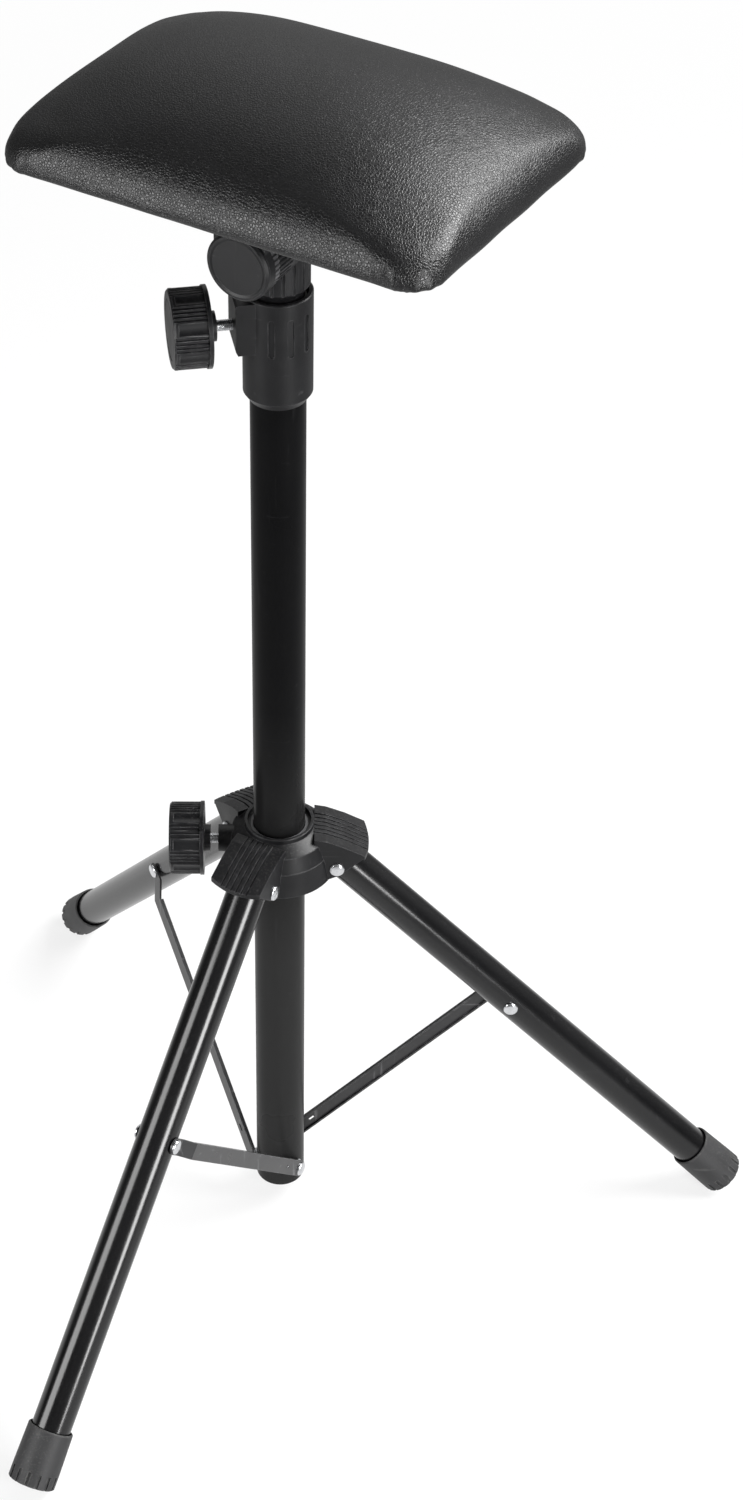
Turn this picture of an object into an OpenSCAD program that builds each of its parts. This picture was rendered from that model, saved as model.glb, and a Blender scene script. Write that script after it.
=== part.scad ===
// Arm rest stand for a tattoo chair: a folding tripod with three braced legs,
// a sliding column, a telescopic post, a toothed tilt hinge and a padded rest.
// Millimetres. +Z is up, the origin is on the floor under the column's axis,
// and +X runs along the first leg.

/* [Column] */
// Outside diameter of the column tube
column_d = 32; // [30:0.5:34]
// Wall of the column tube
column_wall = 1.5; // [1.2:0.1:2]
// Length of the column tube
column_len = 684; // [560:2:760]
// Height of the brace pivots above the column's lower end
base_pivot_up = 13.3; // [12:0.1:20]
// Distance of a brace pivot from the column's middle plane
base_pivot_r = 5.4; // [4:0.1:7]
// Diameter of the saddle washers under the brace ends
base_washer_d = 12; // [10:0.5:14]
// Depth of the plug inside the column's lower end
column_plug_depth = 14; // [8:1:25]
// Height of the rounded end of the plug
column_plug_dome = 4; // [2:0.5:6]

/* [Legs] */
// Outside diameter of a leg tube
leg_d = 25; // [24:0.5:26]
// Wall of a leg tube
leg_wall = 1.5; // [1.2:0.1:2]
// Distance from the hub pivot to the end of the foot
leg_len = 394; // [360:2:440]
// Angle of an open leg from the vertical
leg_angle = 42.8; // [40:0.2:46]
// Distance of the hub pivots from the column's axis
hub_pivot_r = 36; // [35:0.5:39]
// Distance from the hub pivot to the start of the leg tube
leg_tube_start = 6; // [5:0.5:9]
// Depth of the knuckle's plug inside the leg tube
knuckle_plug = 26; // [16:1:40]

/* [Feet] */
// Diameter of a foot at its end
foot_d = 30; // [29:0.5:32]
// Diameter of a foot at its mouth
foot_mouth_d = 29; // [28.5:0.5:30]
// Length of a foot along the leg
foot_len = 36; // [30:1:44]
// Thickness of the foot's end
foot_end = 5; // [3:0.5:8]
// Depth of the flat that a foot stands on
foot_flat = 0.7; // [0.4:0.1:1]
// Number of notches round the foot's end
foot_notches = 14; // [8:1:18]
// Length of the notches
foot_notch_len = 9; // [5:0.5:14]
// Width of a notch
foot_notch_w = 2; // [1:0.1:2.5]
// Depth of a notch
foot_notch_depth = 0.9; // [0.5:0.1:1]

/* [Braces] */
// Distance from the hub pivot to the brace pin on the leg
brace_at = 168; // [160:1:176]
// Length of a brace between its pins
brace_len = 207; // [202:1:212]
// Width of a brace
brace_w = 10.8; // [10:0.2:14]
// Thickness of the brace's sheet
brace_sheet = 1.2; // [1:0.1:1.5]
// Depth of the brace's channel
brace_depth = 2.6; // [2.2:0.1:4]
// Length of the flat tab past the leg pin
brace_tab = 8; // [7:0.5:14]
// Length of the bend between the tab and the channel
brace_bend = 12; // [8:0.5:15]
// Length of the punched slot near the lower pin
brace_slot_len = 5; // [3:0.5:8]
// Width of the punched slot
brace_slot_w = 2; // [1.5:0.1:3]
// Distance of the punched slot from the lower pin
brace_slot_at = 22.5; // [16:0.5:26]

/* [Hub] */
// Radius of the arms' ends
hub_arm_r = 56; // [54:0.5:60]
// Width of an arm
hub_arm_w = 34.8; // [34:0.2:37]
// Radius of the skirt's lower edge
hub_skirt_r = 35.3; // [34:0.1:37]
// Depth of the skirt below the pivots
hub_skirt_down = 8.6; // [8:0.1:12]
// Radius of the step half way up the drum
hub_step_r = 32.6; // [32:0.1:33.5]
// Height of that step above the pivots
hub_step_up = 8; // [6:0.5:12]
// Radius of the drum's shoulder
hub_shoulder_r = 30; // [28:0.1:32]
// Height of the shoulder above the pivots
hub_shoulder_up = 18.6; // [17:0.1:20]
// Outside radius of the ring round the column
hub_ring_r = 21.8; // [21:0.1:23]
// Thickness of the ring's lip
hub_lip = 2; // [1.5:0.1:2.2]
// Height of the ring's lip above the pivots
hub_ring_up = 27; // [26:0.5:30]
// Depth of the lip above the bush
hub_lip_depth = 3; // [2:0.5:4]
// Height of an arm's roof where it leaves the ring
roof_root_up = 22.4; // [21:0.1:24]
// Height of the roof at its bend
roof_bend_up = 17.6; // [16.5:0.1:19]
// Height of the roof at the arm's end
roof_end_up = 8.7; // [8:0.1:11]
// Thickness of the lip at the arm's end
roof_lip = 3; // [2:0.1:4]
// Number of grooves along an arm's roof
roof_grooves = 6; // [3:1:7]
// Spacing of the roof's grooves
roof_groove_step = 3.6; // [2.5:0.1:4]
// Width of a roof groove
roof_groove_w = 1.1; // [0.6:0.1:1.6]
// Depth of a roof groove
roof_groove_depth = 0.9; // [0.4:0.1:1.4]
// Rim of an arm's cheek round its rivet
cheek_rim = 4.9; // [4.8:0.1:6]
// Wall of the bush that the column slides in
hub_bush_wall = 1.7; // [1.4:0.1:2]

/* [Collar] */
// Outside diameter of the collar
collar_d = 39.6; // [38:0.2:42]
// Height of the collar
collar_h = 68.5; // [60:0.5:80]
// Height of the collar's mouth above the column tube
collar_mouth_h = 5.5; // [4:0.5:8]
// Wall of the collar's mouth
collar_mouth_wall = 2.6; // [2:0.1:3]
// Size of the bevel at the collar's foot
collar_bevel = 3.2; // [2:0.1:3.4]
// Length of the grooves down the collar
collar_groove_len = 20; // [16:1:26]
// Number of grooves down the collar
collar_grooves = 8; // [4:1:8]
// Angle between the grooves
collar_groove_step = 32; // [26:1:32]
// Width of a collar groove
collar_groove_w = 3.6; // [2:0.1:4]
// Depth of a collar groove
collar_groove_depth = 0.8; // [0.4:0.1:1]
// Width of the block that the clamp screw passes through
collar_block_w = 27; // [20:1:28]
// Reach of that block from the column's axis
collar_block_r = 25.5; // [25:0.5:30]
// Height of that block
collar_block_h = 33; // [32:1:50]

/* [Clamps] */
// Diameter of the clamp knobs
knob_d = 46.4; // [42:0.2:50]
// Thickness of a clamp knob
knob_h = 21.5; // [18:0.5:26]
// Thickness of the flange at a knob's back
knob_flange = 2.3; // [1.5:0.1:3]
// How far the flange stands out past the grip
knob_flange_out = 0.6; // [0.3:0.1:1.2]
// Diameter of the boss behind a knob
knob_boss_d = 17; // [14:0.5:20]
// Length of the boss behind a knob
knob_boss = 3.8; // [2:0.1:5]
// Depth of the finger hollows in a knob's grip
knob_hollow = 1; // [0.6:0.1:1.4]
// Width of a finger hollow
knob_hollow_w = 7.6; // [6:0.2:8]
// Diameter of the disc let into a knob's face
knob_cap_d = 34; // [28:0.5:38]
// Thickness of that disc
knob_cap = 1.4; // [1:0.1:2]
// Diameter of the clamp screws
stud_d = 6; // [5:0.5:7]
// Depth of a clamp screw inside its knob
stud_in_knob = 15; // [10:0.5:16]
// Pitch of the clamp screws
stud_pitch = 1; // [0.8:0.05:1.25]
// Diameter of the shoe at a clamp screw's tip
shoe_d = 10; // [9:0.5:11]
// Height of the hub clamp above the pivots
hub_clamp_up = 11; // [10:0.5:13]
// Reach of the hub's boss from the column's axis
hub_boss_r = 38; // [37:0.5:40]
// Visible length of the hub's clamp screw
hub_stud_gap = 5; // [3:0.5:8]
// Depth of the height clamp below the collar's top
height_clamp_down = 20.4; // [18:0.2:24]
// Direction of the height clamp round the column
height_clamp_turn = 190; // [185:1:200]
// Visible length of the height clamp's screw
height_stud_gap = 9.4; // [4:0.1:12]

/* [Post] */
// Outside diameter of the post
post_d = 25; // [24:0.2:25.4]
// Wall of the post
post_wall = 1.5; // [1.2:0.1:2]
// Length of the post
post_len = 360; // [320:5:400]
// Length of the guide bush in the column's top
column_bush_len = 34; // [28:1:60]
// Thickness of the flange of the guide bush
column_bush_flange = 2; // [1:0.5:2.5]
// Length of the guide ring at the post's lower end
ferrule_len = 14; // [8:1:25]
// Diameter of the spindle that the guide ring turns on
spindle_d = 16; // [12:0.5:18]

/* [Tilt hinge] */
// Height of the tilt axis above the collar
hinge_up = 32.2; // [30:0.2:36]
// Direction of the pad's long side
pad_turn = -31.2; // [-90:0.2:90]
// Radius of the lower barrel
barrel_r = 18.4; // [17:0.1:19]
// Reach of the barrel on the near side
barrel_near = 28.4; // [24:0.2:30]
// Reach of the barrel on the far side
barrel_far = 22; // [18:0.5:26]
// Length of the toothed band at the barrel's near end
tooth_band = 15; // [8:1:20]
// Number of teeth round the barrel
barrel_teeth = 40; // [20:1:48]
// Depth of the teeth
tooth_depth = 0.9; // [0.5:0.1:1]
// Thickness of the toothed steel ring
tooth_ring = 4.6; // [3:0.1:6]
// Radius of the toothed steel ring
tooth_ring_r = 19.2; // [18.5:0.1:20]
// Radius of the neck in the collar's mouth
neck_r = 15; // [14:0.1:15.5]
// Radius of the neck under the barrel
neck_top_r = 18.2; // [17:0.1:18.4]
// Number of grooves round the neck
neck_grooves = 18; // [8:1:24]
// Depth of the stem inside the post
stem_depth = 32; // [24:1:45]
// Radius of the upper cheek
cheek_r = 19.6; // [18:0.1:21]
// Thickness of the upper cheek
cheek_t = 5.4; // [5:0.1:8]
// Radius of the round cap over the cheek
disc_r = 19.6; // [18:0.1:21]
// Thickness of the round cap
disc_t = 2.5; // [2:0.1:4]
// Diameter of the tilt bolt
bolt_d = 8; // [7:0.5:9]
// Diameter of the tilt knob
tilt_knob_d = 40; // [34:0.5:42]
// Thickness of the tilt knob
tilt_knob_t = 17; // [14:0.5:20]
// Width of the saddle over the barrel
saddle_w = 32; // [24:1:36]
// Size of the square flange under the mounting plate
flange_size = 58; // [50:1:66]
// Thickness of that flange
flange_t = 5; // [4:0.5:8]

/* [Pad] */
// Height of the pad's underside above the tilt axis
pad_up = 50.3; // [48:0.1:60]
// Length of the pad
pad_len = 263.8; // [250:0.2:290]
// Width of the pad
pad_w = 188.6; // [180:0.2:210]
// Height of the pad's side before it rounds over
pad_side = 5.2; // [4:0.2:10]
// Height of the ellipse that the pad's shoulder follows
pad_shoulder_h = 42.8; // [36:0.2:46]
// Width of that ellipse
pad_shoulder_w = 60.4; // [50:0.2:66]
// Angle of that ellipse where the crown starts
pad_shoulder_angle = 52; // [45:1:60]
// Height of the crown above the shoulder
pad_crown = 20; // [12:0.5:24]
// Radius of the pad's corners in plan
pad_corner = 23; // [18:0.5:28]
// How fast the corners grow rounder towards the crown
pad_corner_growth = 3; // [1:0.1:3]
// How far the side is drawn in at the hem
pad_tuck = 2; // [1:0.1:3]
// Offset of the pad from the column along its long side
pad_shift = 12; // [0:0.5:16]
// Thickness of the cover
cover_t = 1.2; // [1:0.1:1.4]
// Width of the cover folded under the board
cover_fold = 22; // [15:1:25]
// Thickness of the board
board_t = 12; // [9:0.5:14]
// Width of the foam between the board's edge and the cover
foam_edge = 3; // [2:0.1:4]
// Thickness of the lining cloth
lining_t = 0.6; // [0.4:0.1:1]
// Length of the mounting plate
plate_len = 120; // [100:1:140]
// Width of the mounting plate
plate_w = 90; // [76:1:110]
// Thickness of the mounting plate
plate_t = 3; // [2:0.5:4]
// Radius of the mounting plate's corners
plate_corner = 10; // [5:0.5:15]
// Distance of the pad screws from the plate's edges
plate_screw_in = 12; // [10:0.5:15]
// Spacing of the staples
staple_step = 30; // [25:1:40]

/* [Fasteners] */
// Diameter of the leg rivets in the hub
hub_rivet_d = 7; // [6:0.1:7.2]
// Diameter of the leg rivets' heads
hub_rivet_head_d = 9.4; // [9:0.1:9.6]
// Diameter of the brace rivets
brace_rivet_d = 5; // [4:0.1:5.4]
// Diameter of the brace rivets' heads
brace_rivet_head_d = 9.4; // [8:0.1:10]
// Height of a rivet's domed head
rivet_head_h = 2; // [1.4:0.1:2.4]
// Diameter of the pad screws
screw_d = 5; // [4:0.1:6]
// Diameter of the pad screws' heads
screw_head_d = 9; // [8.5:0.1:10]
// Height of the pad screws' heads
screw_head_h = 2.6; // [2:0.1:3]

/* [Hidden] */
$fn = 48;
// facets of small round pieces
small_fn = 24;
// overrun of every cut past the face it opens
cut = 1;
// gap between pieces that turn or slide on each other
run_gap = 0.08;
// gap between fixed pieces that fit into each other
fit_gap = 0.1;
// gap between faces that pass each other
side_gap = 0.3;
// angle between the legs
leg_turn = 120;
// bevel of edges that the hand meets
soft_edge = 1.2;

// colours
black_paint = "#1c1c1e";
dark_plastic = "#2f3032";
grey_plastic = "#55575a";
sheet_steel = "#3b3c3e";
bright_steel = "#c3c5c8";
zinc_steel = "#9fa2a6";
white_plastic = "#d9d9d6";
black_leather = "#232427";
cream_foam = "#e8dfc4";
plywood = "#b58d5c";
dark_cloth = "#26272a";

// radii of the tubes
column_r = column_d / 2;
leg_r = leg_d / 2;
post_r = post_d / 2;
column_in = column_r - column_wall;
post_in = post_r - post_wall;

// heights of the tripod, from the floor up
pivot_z = leg_len * cos(leg_angle) + foot_d / 2 * sin(leg_angle) - foot_flat;
leg_pin_r = hub_pivot_r + brace_at * sin(leg_angle);
leg_pin_z = pivot_z - brace_at * cos(leg_angle);
brace_run = leg_pin_r - base_pivot_r;
brace_drop = sqrt(brace_len * brace_len - brace_run * brace_run);
base_pivot_z = leg_pin_z - brace_drop;
column_z = base_pivot_z - base_pivot_up;
column_top = column_z + column_len;
collar_top = column_top + collar_mouth_h;
collar_z = collar_top - collar_h;
hinge_z = collar_top + hinge_up;
hub_clamp_z = pivot_z + hub_clamp_up;
height_clamp_z = collar_top - height_clamp_down;

// hub, measured from the pivots' height
hub_slot_w = leg_d + 2 * side_gap + fit_gap;
hub_slot_r = leg_r + side_gap;
hub_bush_r = column_r + side_gap + hub_bush_wall;
roof_root_r = hub_shoulder_r - soft_edge;
roof_bend_r = (hub_shoulder_r + hub_arm_r) / 2 - cheek_rim / 2;
cheek_bottom_r = hub_pivot_r - hub_rivet_head_d * 2 / 3;

// the clamps, along their own axes
hub_knob_x = hub_boss_r + hub_stud_gap + knob_boss;
height_knob_x = collar_block_r + height_stud_gap + knob_boss;
shoe_len = 4;
shoe_nose_r = 1.8;
shoe_nose_len = 1.2;
nut_w = stud_d * 5 / 3;
nut_t = stud_d * 3 / 5;
knob_groove_r = 0.9;
knob_lobes = 8;
knob_lobe_grooves = 4;
knob_groove_angle = 6;
knob_hollow_r = pow(knob_hollow_w, 2) / knob_hollow / 8 + knob_hollow / 2;
hub_knob_turn = 6;
height_knob_turn = 6;

// the post and the head in its top
post_top = column_top + column_bush_flange + side_gap;
post_bottom = post_top - post_len;
retainer_t = 2;
spindle_head_t = 3;
spindle_plug = 18;
stem_pin_d = 4;
stem_pin_down = 14;

// the tilt hinge, along its axis: the near side is negative
ring_near = barrel_near + tooth_ring;
cheek_in = ring_near + side_gap;
cheek_out = cheek_in + cheek_t;
disc_out = cheek_out + disc_t;
bolt_head_w = bolt_d * 13 / 8;
bolt_head_t = 3.5;
washer_t = 1.6;
washer_d = 22;
washer_face = barrel_far + side_gap;
tilt_knob_y = washer_face + washer_t + side_gap;
insert_d = 13;
insert_len = 11;
barrel_rim = 5;
saddle_gap = 3.6;

// the pad, measured from its underside
board_z = cover_t;
board_len = pad_len - 2 * (pad_tuck + cover_t + foam_edge);
board_w = pad_w - 2 * (pad_tuck + cover_t + foam_edge);
board_corner = pad_corner;
tee_nut_d = 7;
tee_flange_d = 18;
tee_flange_t = 1.4;
staple_w = 10;
staple_leg = 6;
staple_wire = 0.8;
lining_in = 8;
bracket_screw_in = 7;
corner_steps = 6;
side_steps = 2;
shoulder_rings = 7;
crown_rings = 5;
hem_corner_share = 0.8;
round_share = 0.9;

// Puts its children in leg i's frame: X away from the column, Y to the leg's left.
module at_leg(i) {
    rotate([0, 0, leg_turn * i])
        children();
}

// Puts its children on leg i, with Z from the hub pivot towards the foot.
module along_leg(i) {
    at_leg(i)
        translate([hub_pivot_r, 0, pivot_z])
            rotate([0, 180 - leg_angle, 0])
                children();
}

// Puts its children on leg i's brace: X from the leg pin to the column, Z outwards.
module along_brace(i) {
    at_leg(i)
        translate([leg_pin_r, 0, leg_pin_z])
            rotate([0, atan2(brace_drop, -brace_run), 0])
                rotate([-90, 0, 0])
                    children();
}

// Puts its children on the hub clamp's screw, with Z away from the column.
module on_hub_clamp() {
    translate([0, 0, hub_clamp_z])
        rotate([0, 0, leg_turn * 3 / 2])
            rotate([0, 90, 0])
                children();
}

// Puts its children on the height clamp's screw, with Z away from the column.
module on_height_clamp() {
    translate([0, 0, height_clamp_z])
        rotate([0, 0, height_clamp_turn])
            rotate([0, 90, 0])
                children();
}

// Puts its children at the tilt axis, with Y along it and away from the near side.
module at_hinge() {
    translate([0, 0, hinge_z])
        rotate([0, 0, pad_turn])
            children();
}

// Puts its children on the pad's underside, X along the pad.
module at_pad() {
    at_hinge()
        translate([pad_shift, 0, pad_up])
            children();
}

// A round bar along Y from y0 to y1.
module y_bar(r, y0, y1) {
    translate([0, y0, 0])
        rotate([-90, 0, 0])
            cylinder(h = y1 - y0, r = r);
}

// A tube along Z from z0 to z1.
module tube(r_out, r_in, z0, z1) {
    translate([0, 0, z0])
        difference() {
            cylinder(h = z1 - z0, r = r_out);
            translate([0, 0, -cut])
                cylinder(h = z1 - z0 + 2 * cut, r = r_in);
        }
}

// A domed rivet head that grows along +Z from z = 0.
module rivet_head(d) {
    bottom = rivet_head_h / 3;
    rotate_extrude($fn = small_fn)
        polygon(concat(
            [[0, 0], [d / 2, 0]],
            [for (a = [0 : 22.5 : 90]) [d / 2 * cos(a), bottom + (rivet_head_h - bottom) * sin(a)]]
        ));
}

// A rivet with a head at each end, its shank from z = 0 to z = len.
module rivet(d, head_d, len) {
    cylinder(h = len, r = d / 2, $fn = small_fn);
    translate([0, 0, len])
        rivet_head(head_d);
    mirror([0, 0, 1])
        rivet_head(head_d);
}

// A rectangle with round corners, centred.
module round_rect(len, w, r) {
    union() {
        square([len, w - 2 * r], center = true);
        square([len - 2 * r, w], center = true);
        for (x = [-1, 1], y = [-1, 1])
            translate([x * (len / 2 - r), y * (w / 2 - r)])
                circle(r = r);
    }
}

// Outline of an arm's roof from the ring out to its end, raised by up.
function roof_line(up) = [
    [hub_ring_r, roof_root_up + soft_edge + up],
    [roof_root_r, roof_root_up + up],
    [roof_bend_r, roof_bend_up + up],
    [hub_arm_r + cut, roof_end_up + up]
];

// A point on the cheek's slanted edge, s along the edge from beside the rivet.
function cheek_edge(s) = [
    hub_pivot_r + cheek_rim * sin(leg_angle) + s * cos(leg_angle),
    s * sin(leg_angle) - cheek_rim * cos(leg_angle)
];

// One arm of the hub before its slot is cut.
module hub_arm() {
    cheek_top = cheek_edge(hub_arm_w / 2);
    outline = concat(
        roof_line(0),
        [
            [hub_arm_r + cut, roof_end_up - roof_lip],
            cheek_top,
            cheek_edge(-cheek_rim / 2),
            [cheek_bottom_r, -hub_skirt_down],
            [hub_ring_r, -hub_skirt_down]
        ]
    );
    intersection() {
        rotate([90, 0, 0])
            linear_extrude(hub_arm_w, center = true)
                polygon(outline);
        translate([0, 0, -hub_ring_up])
            cylinder(h = 3 * hub_ring_up, r = hub_arm_r, $fn = 96);
    }
}

// The space that a leg sweeps between open and folded.
module hub_slot() {
    reach = hub_arm_r;
    rotate([90, 0, 0])
        linear_extrude(hub_slot_w, center = true)
            translate([hub_pivot_r, 0])
                union() {
                    circle(r = hub_slot_r);
                    polygon([
                        [-hub_slot_r, 0],
                        [-hub_slot_r, -reach],
                        [reach, -reach],
                        [hub_slot_r * cos(leg_angle) + reach * sin(leg_angle),
                         hub_slot_r * sin(leg_angle) - reach * cos(leg_angle)],
                        [hub_slot_r * cos(leg_angle), hub_slot_r * sin(leg_angle)]
                    ]);
                }
}

// The grooves along one arm's roof.
module hub_roof_grooves() {
    band = concat(
        [for (p = roof_line(-roof_groove_depth)) p],
        [for (i = [3 : -1 : 0]) roof_line(cut)[i]]
    );
    first = -(roof_grooves - 1) / 2;
    for (i = [0 : roof_grooves - 1])
        translate([0, (first + i) * roof_groove_step, 0])
            rotate([90, 0, 0])
                linear_extrude(roof_groove_w, center = true)
                    polygon(band);
}

// The hub's round drum with its ring.
module hub_drum() {
    step = soft_edge / 3;
    rotate_extrude($fn = 96)
        polygon([
            [hub_bush_r, -hub_skirt_down],
            [hub_skirt_r, -hub_skirt_down],
            [hub_step_r + step, hub_step_up - step],
            [hub_step_r, hub_step_up],
            [hub_shoulder_r, hub_shoulder_up - step],
            [hub_shoulder_r - step, hub_shoulder_up],
            [hub_ring_r, roof_root_up + soft_edge],
            [hub_ring_r, hub_ring_up - step],
            [hub_ring_r - step, hub_ring_up],
            [hub_ring_r - hub_lip, hub_ring_up],
            [hub_ring_r - hub_lip, hub_ring_up - hub_lip_depth],
            [hub_bush_r, hub_ring_up - hub_lip_depth]
        ]);
}

module hub_body() {
    boss_start = hub_bush_r + side_gap;
    color(dark_plastic)
        difference() {
            union() {
                translate([0, 0, pivot_z]) {
                    hub_drum();
                    for (i = [0 : 2])
                        at_leg(i)
                            hub_arm();
                }
                on_hub_clamp()
                    translate([0, 0, boss_start])
                        cylinder(h = hub_boss_r - boss_start, r = knob_boss_d / 2);
            }
            translate([0, 0, pivot_z])
                for (i = [0 : 2])
                    at_leg(i) {
                        hub_slot();
                        hub_roof_grooves();
                        translate([hub_pivot_r, 0, 0])
                            y_bar(hub_rivet_d / 2, -hub_arm_w, hub_arm_w);
                    }
            on_hub_clamp() {
                clamp_holes(hub_boss_r);
                hub_nut_shape(fit_gap);
            }
        }
}

// The screw hole and the shoe's wider hole through a clamp's wall.
module clamp_holes(reach) {
    cylinder(h = reach + cut, r = stud_d / 2 + side_gap, $fn = small_fn);
    cylinder(h = shoe_hole_end, r = shoe_d / 2 + side_gap, $fn = small_fn);
}
shoe_hole_end = column_r + side_gap + shoe_len + 3 * side_gap + stud_pitch * 2;

// The hub's hexagon nut, grown by gap.
module hub_nut_shape(gap) {
    middle = (shoe_hole_end + hub_boss_r) / 2;
    translate([0, 0, middle - nut_t / 2 - gap])
        cylinder(h = nut_t + 2 * gap, r = (nut_w / 2 + gap) / cos(30), $fn = 6);
}

module hub_nut() {
    color(bright_steel)
        on_hub_clamp()
            difference() {
                hub_nut_shape(0);
                cylinder(h = hub_boss_r, r = stud_d / 2 + run_gap, $fn = small_fn);
            }
}

module hub_bush() {
    color(grey_plastic)
        difference() {
            translate([0, 0, pivot_z])
                tube(hub_bush_r, column_r + side_gap, -hub_skirt_down, hub_ring_up - hub_lip_depth);
            on_hub_clamp()
                cylinder(h = hub_boss_r, r = shoe_d / 2 + side_gap, $fn = small_fn);
        }
}

module hub_rivets() {
    color(bright_steel)
        for (i = [0 : 2])
            at_leg(i)
                translate([hub_pivot_r, -hub_arm_w / 2, pivot_z])
                    rotate([-90, 0, 0])
                        rivet(hub_rivet_d, hub_rivet_head_d, hub_arm_w);
}

// A clamp screw's shoe, its hollow tip against a tube of radius r.
module clamp_shoe(r) {
    tip = r + side_gap;
    end = tip + shoe_len;
    difference() {
        translate([0, 0, r])
            cylinder(h = end - r, r = shoe_d / 2, $fn = small_fn);
        rotate([0, 90, 0])
            cylinder(h = 2 * shoe_d, r = tip, center = true, $fn = 96);
        translate([0, 0, end - shoe_nose_len])
            cylinder(h = shoe_nose_len + cut, r = shoe_nose_r + run_gap, $fn = small_fn);
    }
}

// A clamp screw from the shoe on a tube of radius r into a knob at knob_x.
module clamp_stud(r, knob_x) {
    start = r + side_gap + shoe_len + fit_gap;
    translate([0, 0, start - shoe_nose_len + 2 * fit_gap])
        cylinder(h = shoe_nose_len, r = shoe_nose_r, $fn = small_fn);
    translate([0, 0, start])
        cylinder(h = knob_x + stud_in_knob - knob_boss - start, r = stud_d / 2, $fn = small_fn);
}

// A clamp knob whose flange starts at z = knob_x, its first group of grooves at the angle turn.
module clamp_knob(knob_x, turn) {
    grip_r = knob_d / 2 - knob_flange_out;
    translate([0, 0, knob_x])
        difference() {
            union() {
                translate([0, 0, -knob_boss])
                    cylinder(h = knob_boss, r = knob_boss_d / 2);
                cylinder(h = knob_flange, r = knob_d / 2);
                rotate_extrude()
                    polygon([
                        [0, 0],
                        [grip_r, 0],
                        [grip_r, knob_h - soft_edge],
                        [grip_r - soft_edge, knob_h],
                        [0, knob_h]
                    ]);
            }
            rotate([0, 0, turn])
                knob_grooves(grip_r);
            translate([0, 0, knob_h - knob_cap])
                cylinder(h = knob_cap + cut, r = knob_cap_d / 2 + fit_gap);
            translate([0, 0, -knob_boss - cut])
                cylinder(h = stud_in_knob + cut, r = stud_d / 2, $fn = small_fn);
        }
}

// Groups of fine grooves along a knob's grip, with a finger hollow between each two groups.
module knob_grooves(grip_r) {
    first = -(knob_lobe_grooves - 1) / 2;
    for (lobe = [0 : knob_lobes - 1]) {
        for (i = [0 : knob_lobe_grooves - 1])
            rotate([0, 0, 360 / knob_lobes * lobe + knob_groove_angle * (first + i)])
                translate([grip_r, 0, knob_flange])
                    cylinder(h = knob_h, r = knob_groove_r, $fn = 16);
        rotate([0, 0, 360 / knob_lobes * (lobe + 1 / 2)])
            translate([grip_r + knob_hollow_r - knob_hollow, 0, knob_flange])
                cylinder(h = knob_h - knob_flange - 2 * knob_cap, r = knob_hollow_r, $fn = 48);
    }
}

// The disc let into a knob's face.
module clamp_knob_cap(knob_x) {
    translate([0, 0, knob_x + knob_h - knob_cap])
        rotate_extrude()
            polygon([
                [0, 0],
                [knob_cap_d / 2, 0],
                [knob_cap_d / 2, knob_cap * 3 / 4],
                [knob_cap_d / 2 - knob_cap, knob_cap],
                [0, knob_cap]
            ]);
}

module hub_shoe() {
    color(zinc_steel)
        on_hub_clamp()
            clamp_shoe(column_r);
}

module hub_stud() {
    color(bright_steel)
        on_hub_clamp()
            clamp_stud(column_r, hub_knob_x);
}

module hub_knob() {
    color(dark_plastic)
        on_hub_clamp()
            clamp_knob(hub_knob_x, hub_knob_turn);
}

module hub_knob_cap() {
    color(grey_plastic)
        on_hub_clamp()
            clamp_knob_cap(hub_knob_x);
}

module leg_tube(i) {
    color(black_paint)
        along_leg(i)
            difference() {
                tube(leg_r, leg_r - leg_wall, leg_tube_start, leg_len - foot_end);
                translate([0, 0, brace_at])
                    y_bar(brace_rivet_d / 2, -leg_d, leg_d);
            }
}

module leg_knuckle(i) {
    half = hub_slot_w / 2 - side_gap;
    color(dark_plastic)
        along_leg(i)
            difference() {
                union() {
                    intersection() {
                        y_bar(leg_r, -half, half);
                        translate([-leg_d, -leg_d, -leg_d])
                            cube([2 * leg_d, 2 * leg_d, leg_d + leg_tube_start]);
                    }
                    cylinder(h = leg_tube_start + knuckle_plug, r = leg_r - leg_wall - fit_gap);
                }
                y_bar(hub_rivet_d / 2 + run_gap, -leg_d, leg_d);
            }
}

// One foot in its leg's frame, before its flat is cut.
module foot_form() {
    mouth = leg_len - foot_len;
    lip = soft_edge * 2;
    bevel = soft_edge / 2;
    difference() {
        rotate_extrude()
            polygon([
                [0, leg_len - foot_end],
                [leg_r + fit_gap, leg_len - foot_end],
                [leg_r + fit_gap, mouth + lip],
                [leg_r + 3 * side_gap, mouth + lip / 2],
                [leg_r + 3 * side_gap, mouth],
                [foot_mouth_d / 2 - bevel, mouth],
                [foot_mouth_d / 2, mouth + bevel],
                [foot_d / 2, leg_len - foot_notch_len],
                [foot_d / 2, leg_len - bevel],
                [foot_d / 2 - bevel, leg_len],
                [0, leg_len]
            ]);
        for (k = [0 : foot_notches - 1])
            rotate([0, 0, 360 / foot_notches * (k + 1 / 2)])
                translate([foot_d / 2 - foot_notch_depth, -foot_notch_w / 2, leg_len - foot_notch_len])
                    cube([foot_d, foot_notch_w, foot_notch_len + cut]);
    }
}

module foot(i) {
    color(dark_plastic)
        difference() {
            along_leg(i)
                foot_form();
            at_leg(i)
                translate([0, -foot_d, -foot_d])
                    cube([2 * leg_len, 2 * foot_d, foot_d]);
        }
}

// Places of the brace's sheet, measured outwards from the leg's middle plane.
brace_tab_t = leg_r + side_gap;
brace_lip_t = column_r + side_gap;
brace_web_t = brace_lip_t + brace_depth - brace_sheet;
brace_end = brace_w / 2;

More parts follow.
